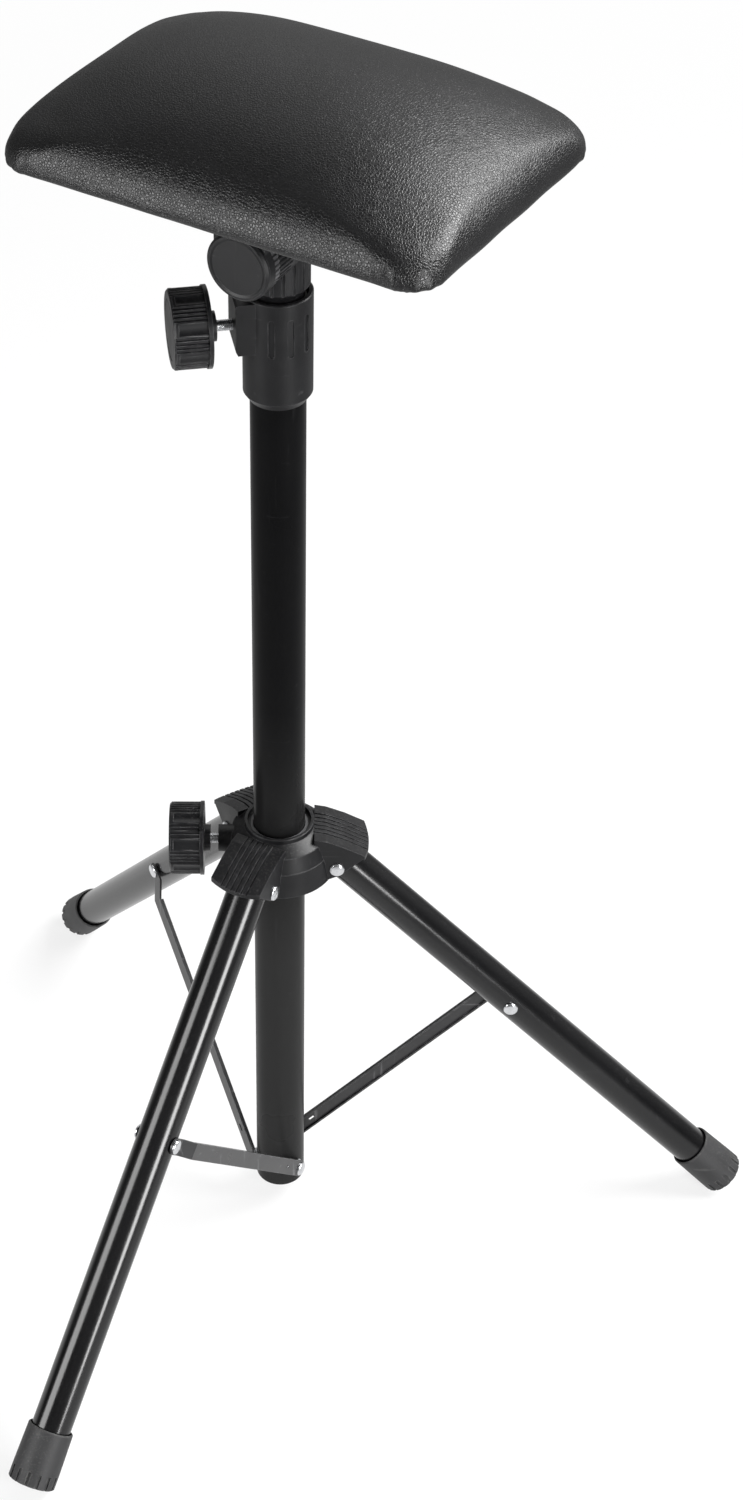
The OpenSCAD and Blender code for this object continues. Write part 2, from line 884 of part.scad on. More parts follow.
module brace_pin(i) {
    under = leg_r + fit_gap;
    over = brace_tab_t + brace_sheet + side_gap / 2;
    color(bright_steel)
        along_leg(i)
            translate([0, -under, brace_at])
                rotate([-90, 0, 0])
                    rivet(brace_rivet_d, brace_rivet_head_d, under + over);
}

// The brace's outline in plan: a bar with round ends.
module brace_plan() {
    circle(r = brace_end);
    translate([0, -brace_end])
        square([brace_len, brace_w]);
    translate([brace_len, 0])
        circle(r = brace_end);
}

// The brace's sheet seen from its edge: tab, bend and web. The flanges point inwards.
module brace_side() {
    bend = brace_tab + brace_bend;
    far = brace_len + brace_w;
    polygon([
        [-brace_w, brace_tab_t],
        [brace_tab, brace_tab_t],
        [bend, brace_web_t],
        [far, brace_web_t],
        [far, brace_web_t + brace_sheet],
        [bend - brace_sheet / 2, brace_web_t + brace_sheet],
        [brace_tab - brace_sheet / 2, brace_tab_t + brace_sheet],
        [-brace_w, brace_tab_t + brace_sheet]
    ]);
}

module brace(i) {
    flange_start = brace_tab + brace_bend;
    flange_h = brace_depth - brace_sheet;
    color(sheet_steel)
        along_brace(i)
            difference() {
                union() {
                    intersection() {
                        translate([0, brace_w, 0])
                            rotate([90, 0, 0])
                                linear_extrude(2 * brace_w)
                                    brace_side();
                        linear_extrude(3 * brace_web_t)
                            brace_plan();
                    }
                    for (y = [-brace_end, brace_end - brace_sheet])
                        translate([flange_start, y, brace_lip_t])
                            cube([brace_len - brace_end - flange_start, brace_sheet, flange_h]);
                }
                cylinder(h = 2 * brace_web_t, r = brace_rivet_d / 2 + run_gap, $fn = small_fn);
                translate([brace_len, 0, 0])
                    cylinder(h = 2 * brace_web_t, r = brace_rivet_d / 2, $fn = small_fn);
                translate([brace_len - brace_slot_at, 0, brace_web_t - cut])
                    linear_extrude(brace_sheet + 2 * cut)
                        square([brace_slot_len, brace_slot_w], center = true);
            }
}

module base_rivet(i) {
    color(bright_steel)
        along_brace(i)
            translate([brace_len, 0, brace_lip_t]) {
                cylinder(h = brace_depth, r = brace_rivet_d / 2, $fn = small_fn);
                translate([0, 0, brace_depth])
                    rivet_head(brace_rivet_head_d);
            }
}

module column_tube() {
    color(black_paint)
        difference() {
            tube(column_r, column_in, column_z, column_top);
            on_height_clamp()
                cylinder(h = collar_d, r = shoe_d / 2 + side_gap, $fn = small_fn);
        }
}

module column_plug() {
    color(dark_plastic)
        translate([0, 0, column_z])
            rotate_extrude()
                polygon(concat(
                    [
                        [0, column_plug_depth],
                        [column_in - fit_gap, column_plug_depth],
                        [column_in - fit_gap, 0],
                        [column_r, 0]
                    ],
                    [for (a = [15 : 15 : 90]) [column_r * cos(a), -column_plug_dome * sin(a)]]
                ));
}

module base_washers() {
    color(zinc_steel)
        for (i = [0 : 2])
            at_leg(i)
                difference() {
                    translate([base_pivot_r, 0, base_pivot_z])
                        y_bar(base_washer_d / 2, column_r / 2, brace_lip_t - side_gap);
                    translate([0, 0, base_pivot_z - base_washer_d])
                        cylinder(h = 2 * base_washer_d, r = column_r);
                }
}

module column_bush() {
    color(white_plastic)
        difference() {
            union() {
                tube(column_in - fit_gap, post_r + run_gap, column_top - column_bush_len, column_top);
                tube(column_r, post_r + run_gap, column_top, column_top + column_bush_flange);
            }
            on_height_clamp()
                cylinder(h = column_r, r = shoe_d / 2 + side_gap, $fn = small_fn);
        }
}

module collar() {
    edge = soft_edge / 2;
    mouth_r = collar_d / 2 - collar_mouth_wall;
    shoulder = collar_top - collar_mouth_h;
    color(dark_plastic)
        difference() {
            union() {
                rotate_extrude()
                    polygon([
                        [column_r + fit_gap / 2, collar_z],
                        [collar_d / 2 - collar_bevel, collar_z],
                        [collar_d / 2, collar_z + collar_bevel * 3 / 2],
                        [collar_d / 2, collar_top - edge],
                        [collar_d / 2 - edge, collar_top],
                        [mouth_r, collar_top],
                        [mouth_r, shoulder],
                        [column_r + fit_gap / 2, shoulder]
                    ]);
                collar_block();
            }
            for (k = [0 : collar_grooves - 1])
                rotate([0, 0, height_clamp_turn + 70 + collar_groove_step * k])
                    collar_groove();
            translate([0, 0, collar_z])
                cylinder(h = collar_h - collar_mouth_h, r = column_r + fit_gap / 2);
            translate([0, 0, shoulder])
                cylinder(h = collar_mouth_h + cut, r = mouth_r);
            on_height_clamp() {
                cylinder(h = collar_block_r + cut, r = stud_d / 2 + side_gap, $fn = small_fn);
                cylinder(h = height_shoe_end, r = shoe_d / 2 + side_gap, $fn = small_fn);
                collar_nut_shape(fit_gap);
            }
        }
}
height_shoe_end = post_r + side_gap + shoe_len + 3 * side_gap + stud_pitch * 2;

// The block on the collar's side, with its lower outer edge cut away.
module collar_block() {
    half = collar_block_w / 2;
    low = collar_top - collar_block_h;
    rotate([0, 0, height_clamp_turn])
        rotate([90, 0, 0])
            linear_extrude(collar_block_w, center = true)
                polygon([
                    [half, collar_top - soft_edge],
                    [collar_block_r - soft_edge, collar_top - soft_edge],
                    [collar_block_r, collar_top - 2 * soft_edge],
                    [collar_block_r, height_clamp_z - shoe_d],
                    [collar_block_r - soft_edge, low],
                    [half, low]
                ]);
}

// One upright groove in the collar's side, with round ends.
module collar_groove() {
    r = collar_groove_w / 2;
    high = collar_top - height_clamp_down / 2 - soft_edge;
    low = high - collar_groove_len;
    translate([collar_d / 2 - collar_groove_depth, 0, 0])
        rotate([0, 90, 0])
            linear_extrude(collar_d)
                union() {
                    translate([-high, 0])
                        circle(r = r, $fn = small_fn);
                    translate([-high, -r])
                        square([high - low, 2 * r]);
                    translate([-low, 0])
                        circle(r = r, $fn = small_fn);
                }
}

// The collar's hexagon nut, grown by gap.
module collar_nut_shape(gap) {
    middle = (height_shoe_end + collar_block_r) / 2;
    translate([0, 0, middle - nut_t / 2 - gap])
        cylinder(h = nut_t + 2 * gap, r = (nut_w / 2 + gap) / cos(30), $fn = 6);
}

module collar_nut() {
    color(bright_steel)
        on_height_clamp()
            difference() {
                collar_nut_shape(0);
                cylinder(h = collar_block_r, r = stud_d / 2 + run_gap, $fn = small_fn);
            }
}

module height_shoe() {
    color(zinc_steel)
        on_height_clamp()
            clamp_shoe(post_r);
}

module height_stud() {
    color(bright_steel)
        on_height_clamp()
            clamp_stud(post_r, height_knob_x);
}

module height_knob() {
    color(dark_plastic)
        on_height_clamp()
            clamp_knob(height_knob_x, height_knob_turn);
}

module height_knob_cap() {
    color(grey_plastic)
        on_height_clamp()
            clamp_knob_cap(height_knob_x);
}

module post_tube() {
    color(bright_steel)
        difference() {
            tube(post_r, post_in, post_bottom, post_top);
            translate([0, 0, post_top - stem_pin_down])
                y_bar(stem_pin_d / 2, -post_d, post_d);
        }
}

module post_spindle() {
    color(dark_plastic)
        translate([0, 0, post_bottom]) {
            cylinder(h = spindle_plug, r = post_in - fit_gap);
            translate([0, 0, -spindle_head_t])
                cylinder(h = spindle_head_t, r = post_r);
            translate([0, 0, -spindle_head_t - ferrule_len - 2 * fit_gap])
                cylinder(h = ferrule_len + 2 * fit_gap, r = spindle_d / 2);
        }
}

module post_ferrule() {
    top = post_bottom - spindle_head_t - fit_gap;
    color(white_plastic)
        tube(column_in - run_gap, spindle_d / 2 + run_gap, top - ferrule_len, top);
}

module post_retainer() {
    top = post_bottom - spindle_head_t - ferrule_len - 2 * fit_gap;
    color(zinc_steel)
        translate([0, 0, top - retainer_t]) {
            cylinder(h = retainer_t, r = post_r - retainer_t);
            mirror([0, 0, 1])
                rivet_head(screw_head_d);
        }
}

module stem_pin() {
    color(zinc_steel)
        translate([0, 0, post_top - stem_pin_down])
            y_bar(stem_pin_d / 2, -post_r + fit_gap, post_r - fit_gap);
}

// Notches round a disc's rim of radius r, along Y from y0 to y1.
module rim_notches(r, y0, y1) {
    side = tooth_depth * sqrt(2);
    for (k = [0 : barrel_teeth - 1])
        rotate([0, 360 / barrel_teeth * k, 0])
            translate([r, (y0 + y1) / 2, 0])
                rotate([0, 45, 0])
                    cube([side, y1 - y0, side], center = true);
}

module tilt_lower() {
    color(dark_plastic)
        difference() {
            union() {
                at_hinge() {
                    y_bar(barrel_r, -barrel_near, barrel_far - soft_edge);
                    y_bar(barrel_r - soft_edge, -barrel_near, barrel_far);
                }
                tilt_neck();
                translate([0, 0, post_top - stem_depth])
                    cylinder(h = stem_depth, r = post_in - fit_gap);
            }
            at_hinge() {
                y_bar(bolt_d / 2 + run_gap, -barrel_near - cut, barrel_far + cut);
                rim_notches(barrel_r, -barrel_near - cut, tooth_band - barrel_near);
            }
            translate([0, 0, post_top - stem_pin_down])
                y_bar(stem_pin_d / 2, -post_d, post_d);
        }
}

// The neck between the collar's mouth and the barrel, with grooves round it.
module tilt_neck() {
    lip = collar_top + side_gap;
    flare = (neck_top_r - neck_r) * 3 / 2;
    difference() {
        rotate_extrude()
            polygon([
                [0, post_top],
                [neck_r, post_top],
                [neck_r, lip],
                [neck_top_r, lip + flare],
                [neck_top_r, hinge_z],
                [0, hinge_z]
            ]);
        for (k = [0 : neck_grooves - 1])
            rotate([0, 0, 360 / neck_grooves * k])
                translate([neck_top_r, 0, lip + flare / 2])
                    cylinder(h = hinge_up, r = tooth_depth, $fn = 12);
    }
}

module tilt_ring() {
    color(bright_steel)
        at_hinge()
            difference() {
                y_bar(tooth_ring_r, -ring_near, -barrel_near);
                y_bar(bolt_d, -ring_near - cut, -barrel_near + cut);
                rim_notches(tooth_ring_r, -ring_near - cut, -barrel_near + cut);
            }
}

// The saddle of the upper bracket seen along the pad: cheek, bridge and flange.
module saddle_side() {
    low = barrel_r + saddle_gap;
    high = pad_up - lining_t - plate_t - flange_t;
    polygon([
        [-cheek_out, 0],
        [-cheek_in, 0],
        [-cheek_in, low],
        [barrel_far - soft_edge, low],
        [barrel_far, low + soft_edge],
        [flange_size / 2, high],
        [-cheek_out, high]
    ]);
}

module tilt_upper() {
    flange_z = pad_up - lining_t - plate_t - flange_t;
    pocket = cheek_out - bolt_head_t - fit_gap;
    color(dark_plastic)
        at_hinge()
            difference() {
                union() {
                    y_bar(cheek_r, -cheek_out, -cheek_in);
                    rotate([90, 0, 90])
                        linear_extrude(saddle_w, center = true)
                            saddle_side();
                    translate([0, 0, flange_z])
                        linear_extrude(flange_t)
                            round_rect(flange_size, flange_size, bracket_screw_in);
                }
                y_bar(bolt_d / 2 + fit_gap / 2, -cheek_out - cut, -cheek_in + cut);
                translate([0, -pocket, 0])
                    rotate([90, 0, 0])
                        cylinder(h = cheek_out, r = (bolt_head_w / 2 + fit_gap) / cos(30), $fn = 6);
                at_bracket_screws()
                    translate([0, 0, flange_z - cut])
                        cylinder(h = flange_t + 2 * cut, r = screw_d / 2, $fn = small_fn);
            }
}

// The four screws that hold the bracket to the mounting plate.
module at_bracket_screws() {
    place = flange_size / 2 - bracket_screw_in;
    for (x = [-1, 1], y = [-1, 1])
        translate([x * place, y * place, 0])
            children();
}

module bracket_screws() {
    flange_z = pad_up - lining_t - plate_t - flange_t;
    color(zinc_steel)
        at_hinge()
            at_bracket_screws() {
                translate([0, 0, flange_z])
                    cylinder(h = flange_t + plate_t, r = screw_d / 2, $fn = small_fn);
                translate([0, 0, flange_z])
                    mirror([0, 0, 1])
                        pan_head();
            }
}

// A pan head that grows along +Z, with a cross-shaped recess.
module pan_head() {
    recess_w = screw_d / 5;
    difference() {
        rotate_extrude($fn = small_fn)
            polygon([
                [0, 0],
                [screw_head_d / 2, 0],
                [screw_head_d / 2, screw_head_h / 2],
                [screw_head_d / 2 - recess_w, screw_head_h * 5 / 6],
                [screw_d / 2, screw_head_h],
                [0, screw_head_h]
            ]);
        for (a = [0, 90])
            rotate([0, 0, a])
                translate([0, 0, screw_head_h])
                    cube([screw_d, recess_w, screw_head_h], center = true);
    }
}

// The round cap over the upper cheek.
module tilt_disc() {
    bevel = disc_t / 2;
    dish = disc_t / 5;
    color(dark_plastic)
        at_hinge()
            translate([0, -cheek_out, 0])
                rotate([90, 0, 0])
                    rotate_extrude($fn = 72)
                        polygon([
                            [0, 0],
                            [disc_r, 0],
                            [disc_r, disc_t - bevel],
                            [disc_r - bevel, disc_t],
                            [disc_r - 2 * bevel, disc_t],
                            [disc_r - 3 * bevel, disc_t - dish],
                            [0, disc_t - dish]
                        ]);
}

module tilt_bolt() {
    tip = tilt_knob_y + insert_len + bolt_d / 2;
    color(bright_steel)
        at_hinge() {
            y_bar(bolt_d / 2, -cheek_out, tip);
            translate([0, -cheek_out + bolt_head_t, 0])
                rotate([90, 0, 0])
                    cylinder(h = bolt_head_t, r = bolt_head_w / 2 / cos(30), $fn = 6);
        }
}

module tilt_washer() {
    color(zinc_steel)
        at_hinge()
            difference() {
                y_bar(washer_d / 2, washer_face, washer_face + washer_t);
                y_bar(bolt_d / 2 + run_gap, 0, 2 * washer_face);
            }
}

module tilt_knob() {
    hub_r = washer_d / 2;
    flange = tilt_knob_t / 5;
    bore_end = insert_len + bolt_d;
    color(dark_plastic)
        at_hinge()
            translate([0, tilt_knob_y, 0])
                rotate([-90, 0, 0])
                    difference() {
                        union() {
                            cylinder(h = flange, r = hub_r);
                            translate([0, 0, flange])
                                rotate_extrude()
                                    polygon([
                                        [0, 0],
                                        [tilt_knob_d / 2 - soft_edge, 0],
                                        [tilt_knob_d / 2, soft_edge],
                                        [tilt_knob_d / 2, tilt_knob_t - flange - soft_edge],
                                        [tilt_knob_d / 2 - soft_edge, tilt_knob_t - flange],
                                        [0, tilt_knob_t - flange]
                                    ]);
                        }
                        translate([0, 0, -cut])
                            cylinder(h = insert_len + cut, r = insert_d / 2);
                        cylinder(h = min(bore_end, tilt_knob_t - soft_edge), r = bolt_d / 2 + side_gap);
                        for (k = [0 : 5])
                            rotate([0, 0, 60 * k])
                                translate([tilt_knob_d / 2 + hub_r / 3, 0, -cut])
                                    cylinder(h = tilt_knob_t + 2 * cut, r = hub_r / 2, $fn = 32);
                    }
}

module tilt_knob_insert() {
    color(zinc_steel)
        at_hinge()
            difference() {
                y_bar(insert_d / 2, tilt_knob_y, tilt_knob_y + insert_len);
                y_bar(bolt_d / 2 + run_gap, 0, 2 * tilt_knob_y);
            }
}

// The four screws that hold the plate to the board.
module at_plate_screws() {
    x0 = plate_len / 2 - plate_screw_in;
    y0 = plate_w / 2 - plate_screw_in;
    at_hinge()
        for (x = [-1, 1], y = [-1, 1])
            translate([x * x0, y * y0, pad_up])
                children();
}

module mounting_plate() {
    color(sheet_steel)
        difference() {
            at_hinge()
                translate([0, 0, pad_up - lining_t - plate_t])
                    linear_extrude(plate_t)
                        round_rect(plate_len, plate_w, plate_corner);
            at_plate_screws()
                translate([0, 0, -lining_t - plate_t - cut])
                    cylinder(h = plate_t + 2 * cut, r = screw_d / 2 + fit_gap, $fn = small_fn);
            at_hinge()
                at_bracket_screws()
                    translate([0, 0, pad_up - lining_t - plate_t - cut])
                        cylinder(h = plate_t + 2 * cut, r = screw_d / 2, $fn = small_fn);
        }
}

module plate_screws() {
    low = -lining_t - plate_t;
    color(zinc_steel)
        at_plate_screws()
            translate([0, 0, low]) {
                cylinder(h = board_z + board_t - tee_flange_t - low, r = screw_d / 2, $fn = small_fn);
                mirror([0, 0, 1])
                    pan_head();
            }
}

module pad_lining() {
    color(dark_cloth)
        difference() {
            at_pad()
                translate([0, 0, -lining_t])
                    linear_extrude(lining_t)
                        round_rect(board_len - 2 * lining_in, board_w - 2 * lining_in, board_corner - lining_in);
            at_plate_screws()
                translate([0, 0, -lining_t - cut])
                    cylinder(h = lining_t + 2 * cut, r = screw_d / 2 + fit_gap, $fn = small_fn);
        }
}

module pad_board() {
    color(plywood)
        difference() {
            at_pad()
                translate([0, 0, board_z])
                    linear_extrude(board_t)
                        round_rect(board_len, board_w, board_corner);
            at_plate_screws()
                translate([0, 0, board_z]) {
                    translate([0, 0, -cut])
                        cylinder(h = board_t + 2 * cut, r = tee_nut_d / 2, $fn = small_fn);
                    translate([0, 0, board_t - tee_flange_t])
                        cylinder(h = tee_flange_t + cut, r = tee_flange_d / 2, $fn = small_fn);
                }
        }
}

module pad_tee_nuts() {
    color(zinc_steel)
        at_plate_screws()
            translate([0, 0, board_z])
                difference() {
                    union() {
                        cylinder(h = board_t, r = tee_nut_d / 2, $fn = small_fn);
                        translate([0, 0, board_t - tee_flange_t])
                            cylinder(h = tee_flange_t, r = tee_flange_d / 2, $fn = small_fn);
                    }
                    translate([0, 0, -cut])
                        cylinder(h = board_t + 2 * cut, r = screw_d / 2 + fit_gap / 2, $fn = small_fn);
                }
}

// One ring of points round the pad, drawn in by d from its full size, at height z.
function pad_ring(d, z, corner) = let (
        r = min(corner, (pad_w / 2 - d) * round_share),
        x = pad_len / 2 - d - r,
        y = pad_w / 2 - d - r
    ) [
        for (k = [0 : 3])
            let (
                sx = k == 0 || k == 3 ? 1 : -1,
                sy = k < 2 ? 1 : -1
            )
                each concat(
                    [for (j = [0 : corner_steps])
                        let (a = 90 * k + 90 / corner_steps * j)
                            [sx * x + r * cos(a), sy * y + r * sin(a), z]],
                    [for (j = [1 : side_steps])
                        let (s = j / (side_steps + 1))
                            k == 0 || k == 2
                                ? [sx * x * (1 - 2 * s), sy * (y + r), z]
                                : [sx * (x + r), sy * y * (1 - 2 * s), z]]
                )
    ];

// How far the shoulder is drawn in at angle a, on a form inset by t.
function shoulder_in(a, t) = t + (pad_shoulder_w - t) * (1 - cos(a));

// Height of the shoulder at angle a, on a form inset by t.
function shoulder_up(a, t) = pad_side + (pad_shoulder_h - t) * sin(a);

// Height of the crown at p, over a top ring of half length x and half width y.
function crown_at(p, x, y, t) =
    shoulder_up(pad_shoulder_angle, t)
    + (pad_crown - t * (1 - sin(pad_shoulder_angle)))
    * (1 - pow(abs(p[0]) / x, 3)) * (1 - pow(p[1] / y, 2));

// All rings of the cushion from its hem to the middle of its crown, inset by t all over.
function pad_rings(t) = let (
        d = shoulder_in(pad_shoulder_angle, t),
        top = pad_ring(d, 0, pad_corner + pad_corner_growth * d)
    ) concat(
        [pad_ring(pad_tuck + t, 0, pad_corner * hem_corner_share)],
        [pad_ring(pad_tuck / 4 + t, pad_side / 2, pad_corner)],
        [for (k = [0 : shoulder_rings])
            let (a = pad_shoulder_angle / shoulder_rings * k, in = shoulder_in(a, t))
                pad_ring(in, shoulder_up(a, t), pad_corner + pad_corner_growth * in)],
        [for (k = [1 : crown_rings])
            let (s = 1 - k / (crown_rings + 1))
                [for (p = top)
                    [p[0] * s, p[1] * s, crown_at(p * s, pad_len / 2 - d, pad_w / 2 - d, t)]]]
    );

// The cushion's closed form, inset by t on its top and sides.
module cushion(t) {
    rings = pad_rings(t);
    count = len(rings[0]);
    last = len(rings) - 1;
    foot_point = (last + 1) * count;
    crown_point = foot_point + 1;
    points = concat(
        [for (ring = rings) each ring],
        [[0, 0, 0], [0, 0, crown_at([0, 0], 1, 1, t)]]
    );
    function at(ring, k) = ring * count + (k % count);
    sides = [for (ring = [0 : last - 1], k = [0 : count - 1], half = [0, 1])
        half == 0
            ? [at(ring, k), at(ring + 1, k), at(ring + 1, k + 1)]
            : [at(ring, k), at(ring + 1, k + 1), at(ring, k + 1)]];
    bottom = [for (k = [0 : count - 1]) [foot_point, at(0, k), at(0, k + 1)]];
    crown = [for (k = [0 : count - 1]) [crown_point, at(last, k + 1), at(last, k)]];
    polyhedron(points = points, faces = concat(sides, bottom, crown));
}

// The space under the cover: foam and board.
module pad_filling() {
    intersection() {
        cushion(cover_t);
        translate([-pad_len, -pad_w, cover_t])
            cube([2 * pad_len, 2 * pad_w, 2 * pad_shoulder_h]);
    }
}

module pad_cover() {
    color(black_leather)
        at_pad()
            difference() {
                cushion(0);
                pad_filling();
                translate([0, 0, -cut])
                    linear_extrude(2 * cut + cover_t)
                        round_rect(board_len - 2 * cover_fold, board_w - 2 * cover_fold, cover_fold / 4);
            }
}

module pad_foam() {
    color(cream_foam)
        at_pad()
            difference() {
                pad_filling();
                translate([0, 0, -cut])
                    linear_extrude(board_z + board_t + cut)
                        round_rect(board_len, board_w, board_corner);
            }
}

// One staple with its back under the cover's fold and its legs up in the board.
module staple() {
    translate([-staple_w / 2, -staple_wire / 2, 0]) {
        cube([staple_w, staple_wire, staple_wire]);
        cube([staple_wire, staple_wire, staple_leg]);
        translate([staple_w - staple_wire, 0, 0])
            cube([staple_wire, staple_wire, staple_leg]);
    }
}

module pad_staples() {
    in_x = board_len / 2 - cover_fold / 4;
    in_y = board_w / 2 - cover_fold / 4;
    along_x = floor((board_len / 2 - board_corner) / staple_step);
    along_y = floor((board_w / 2 - board_corner) / staple_step);
    color(zinc_steel)
        at_pad() {
            for (k = [-along_x : along_x], side = [-1, 1])
                translate([k * staple_step, side * in_y, 0])
                    staple();
            for (k = [-along_y : along_y], side = [-1, 1])
                translate([side * in_x, k * staple_step, 0])
                    rotate([0, 0, 90])
                        staple();
        }
}

hub_body();
hub_bush();
hub_rivets();
hub_nut();
hub_shoe();
hub_stud();
hub_knob();
hub_knob_cap();
leg_tube(0);  // leg_tube_1
leg_tube(1);  // leg_tube_2
leg_tube(2);  // leg_tube_3
leg_knuckle(0);  // leg_knuckle_1
leg_knuckle(1);  // leg_knuckle_2
leg_knuckle(2);  // leg_knuckle_3
foot(0);  // foot_1
foot(1);  // foot_2
foot(2);  // foot_3
brace_pin(0);  // brace_pin_1
brace_pin(1);  // brace_pin_2
brace_pin(2);  // brace_pin_3
brace(0);  // brace_1
brace(1);  // brace_2
brace(2);  // brace_3
base_rivet(0);  // base_rivet_1
base_rivet(1);  // base_rivet_2
base_rivet(2);  // base_rivet_3
column_tube();
column_plug();
base_washers();
column_bush();
collar();
collar_nut();
height_shoe();
height_stud();
height_knob();
height_knob_cap();
post_ferrule();
post_tube();
post_spindle();
post_retainer();
tilt_lower();
stem_pin();
tilt_ring();
tilt_upper();
tilt_disc();
tilt_bolt();
tilt_washer();
tilt_knob();
tilt_knob_insert();
bracket_screws();
mounting_plate();
plate_screws();
pad_lining();
pad_board();
pad_tee_nuts();
pad_foam();
pad_cover();
pad_staples();
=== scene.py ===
# %% [markdown]
# # A folding arm rest stand
#
# This lesson gives a tripod arm rest its looks. The solid parts come from a imported CAD model that is
# already in metres and in its place, so nothing rigid is moved or reshaped here. What is left to do is
# what CAD does badly: a padded cover that looks pulled tight, cloth, screw threads, and finishes that
# have grain, wear and gloss. First the model is loaded. The dressed stand has to stay inside nearly
# the same box.

# %% The imported model
import math

import bpy
import numpy as np
from mathutils import Matrix, Vector, kdtree


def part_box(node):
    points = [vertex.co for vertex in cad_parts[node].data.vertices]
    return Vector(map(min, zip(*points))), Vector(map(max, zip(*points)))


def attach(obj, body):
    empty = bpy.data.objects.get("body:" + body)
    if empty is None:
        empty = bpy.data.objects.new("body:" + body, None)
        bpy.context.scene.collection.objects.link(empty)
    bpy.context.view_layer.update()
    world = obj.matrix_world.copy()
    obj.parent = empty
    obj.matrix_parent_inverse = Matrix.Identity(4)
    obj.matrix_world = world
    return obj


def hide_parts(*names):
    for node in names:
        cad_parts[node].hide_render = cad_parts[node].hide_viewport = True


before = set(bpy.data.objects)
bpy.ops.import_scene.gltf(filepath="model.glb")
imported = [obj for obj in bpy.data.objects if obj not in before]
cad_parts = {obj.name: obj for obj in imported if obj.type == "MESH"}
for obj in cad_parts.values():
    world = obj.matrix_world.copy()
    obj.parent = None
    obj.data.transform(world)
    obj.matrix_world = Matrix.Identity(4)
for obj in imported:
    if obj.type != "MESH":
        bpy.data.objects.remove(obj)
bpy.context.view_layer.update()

MM = 0.001


# %% [markdown]
# ## The camera
#
# The camera looks down at the stand by almost 39 degrees, from about 70 cm above the pad. Its place
# and its lens were found once by fitting the stand's measured points to the picture, so they are
# written here as plain numbers. A matrix built from three directions is the clearest way to set a
# camera that also leans a little to one side.

# %% The camera
EYE = Vector((0.01635, -1.48878, 1.57382))
TURN, DOWN, LEAN = (math.radians(a) for a in (1.544, 38.708, 1.187))
LENS_MM = 74.88

ahead = Vector((math.sin(TURN) * math.cos(DOWN), math.cos(TURN) * math.cos(DOWN), -math.sin(DOWN)))
level = Vector((math.cos(TURN), -math.sin(TURN), 0))
above = level.cross(ahead)
right = level * math.cos(LEAN) + above * math.sin(LEAN)
top = above * math.cos(LEAN) - level * math.sin(LEAN)

lens = bpy.data.cameras.new("photo_camera")
lens.lens = LENS_MM
camera = bpy.data.objects.new("photo_camera", lens)
camera.matrix_world = Matrix((right, top, -ahead)).transposed().to_4x4()
camera.location = EYE
bpy.context.scene.collection.objects.link(camera)
bpy.context.scene.camera = camera
print("camera looks along", [round(v, 3) for v in ahead])


# %% [markdown]
# ## Small helpers for shader nodes
#
# Every finish is a tree of nodes. Two short helpers keep the trees readable: one adds a node and
# fills or connects its inputs by name, and one starts a node group with named inputs and outputs. A
# group is an effect, such as grain or wear, that is built once and used by many finishes.

# %% Node helpers
def add(tree, kind, inputs=None, **settings):
    """Adds a node, sets its settings, and fills or connects its inputs."""
    made = tree.nodes.new(kind)
    for name, value in settings.items():
        setattr(made, name, value)
    for name, value in (inputs or {}).items():
        if isinstance(value, bpy.types.NodeSocket):
            tree.links.new(value, made.inputs[name])
        else:
            made.inputs[name].default_value = value
    return made


def math_node(tree, operation, *values, clamp=False):
    """One sum; its numbers may be sockets."""
    given = dict(enumerate(values))
    return add(tree, "ShaderNodeMath", given, operation=operation, use_clamp=clamp).outputs[0]


def ramp(tree, value, low, high, to_low=0.0, to_high=1.0):
    """Maps value from low..high to to_low..to_high and keeps it there."""
    given = {"Value": value, "From Min": low, "From Max": high, "To Min": to_low, "To Max": to_high}
    return add(tree, "ShaderNodeMapRange", given).outputs["Result"]


def blend_colours(tree, share, first, second):
    """Mixes two colours by share."""
    given = {0: share, 6: first, 7: second}
    return add(tree, "ShaderNodeMix", given, data_type="RGBA").outputs[2]


def effect(name, inputs, outputs):
    """Starts a node group; returns its tree, its given values and its output node."""
    tree = bpy.data.node_groups.new(name, "ShaderNodeTree")
    for label, value in inputs.items():
        socket = tree.interface.new_socket(label, in_out="INPUT", socket_type="NodeSocketFloat")
        socket.default_value = value
    for label in outputs:
        tree.interface.new_socket(label, in_out="OUTPUT", socket_type="NodeSocketFloat")
    given = tree.nodes.new("NodeGroupInput").outputs
    return tree, given, tree.nodes.new("NodeGroupOutput")


def place_of(tree):
    """The point on the piece, in metres."""
    return add(tree, "ShaderNodeTexCoord").outputs["Object"]


def noise(tree, size, detail=2.0, vector=None, roughness=0.5):
    """Cloudy noise whose clouds are about size metres across; size may be a socket."""
    scale = math_node(tree, "DIVIDE", 1.0, size) if isinstance(size, bpy.types.NodeSocket) else 1 / size
    given = {"Vector": vector or place_of(tree), "Scale": scale, "Detail": detail, "Roughness": roughness}
    return add(tree, "ShaderNodeTexNoise", given).outputs["Fac"]


# %% [markdown]
# ## Floor, room and lamps
#
# The stand is shown on a plain white floor. The floor's material mixes a lit white with a glow of
# strength 1 that the camera sees, so the floor looks white and still keeps a soft shadow under the
# feet. Far from the stand the glow takes over, and in the photo's view no end of the floor shows.
# Reflections see a glow that gets weaker with distance, because a real white floor ends a step away
# from the stand. The room is a studio with a pale wall behind and to the right, and is dark overhead,
# in front and to the left.

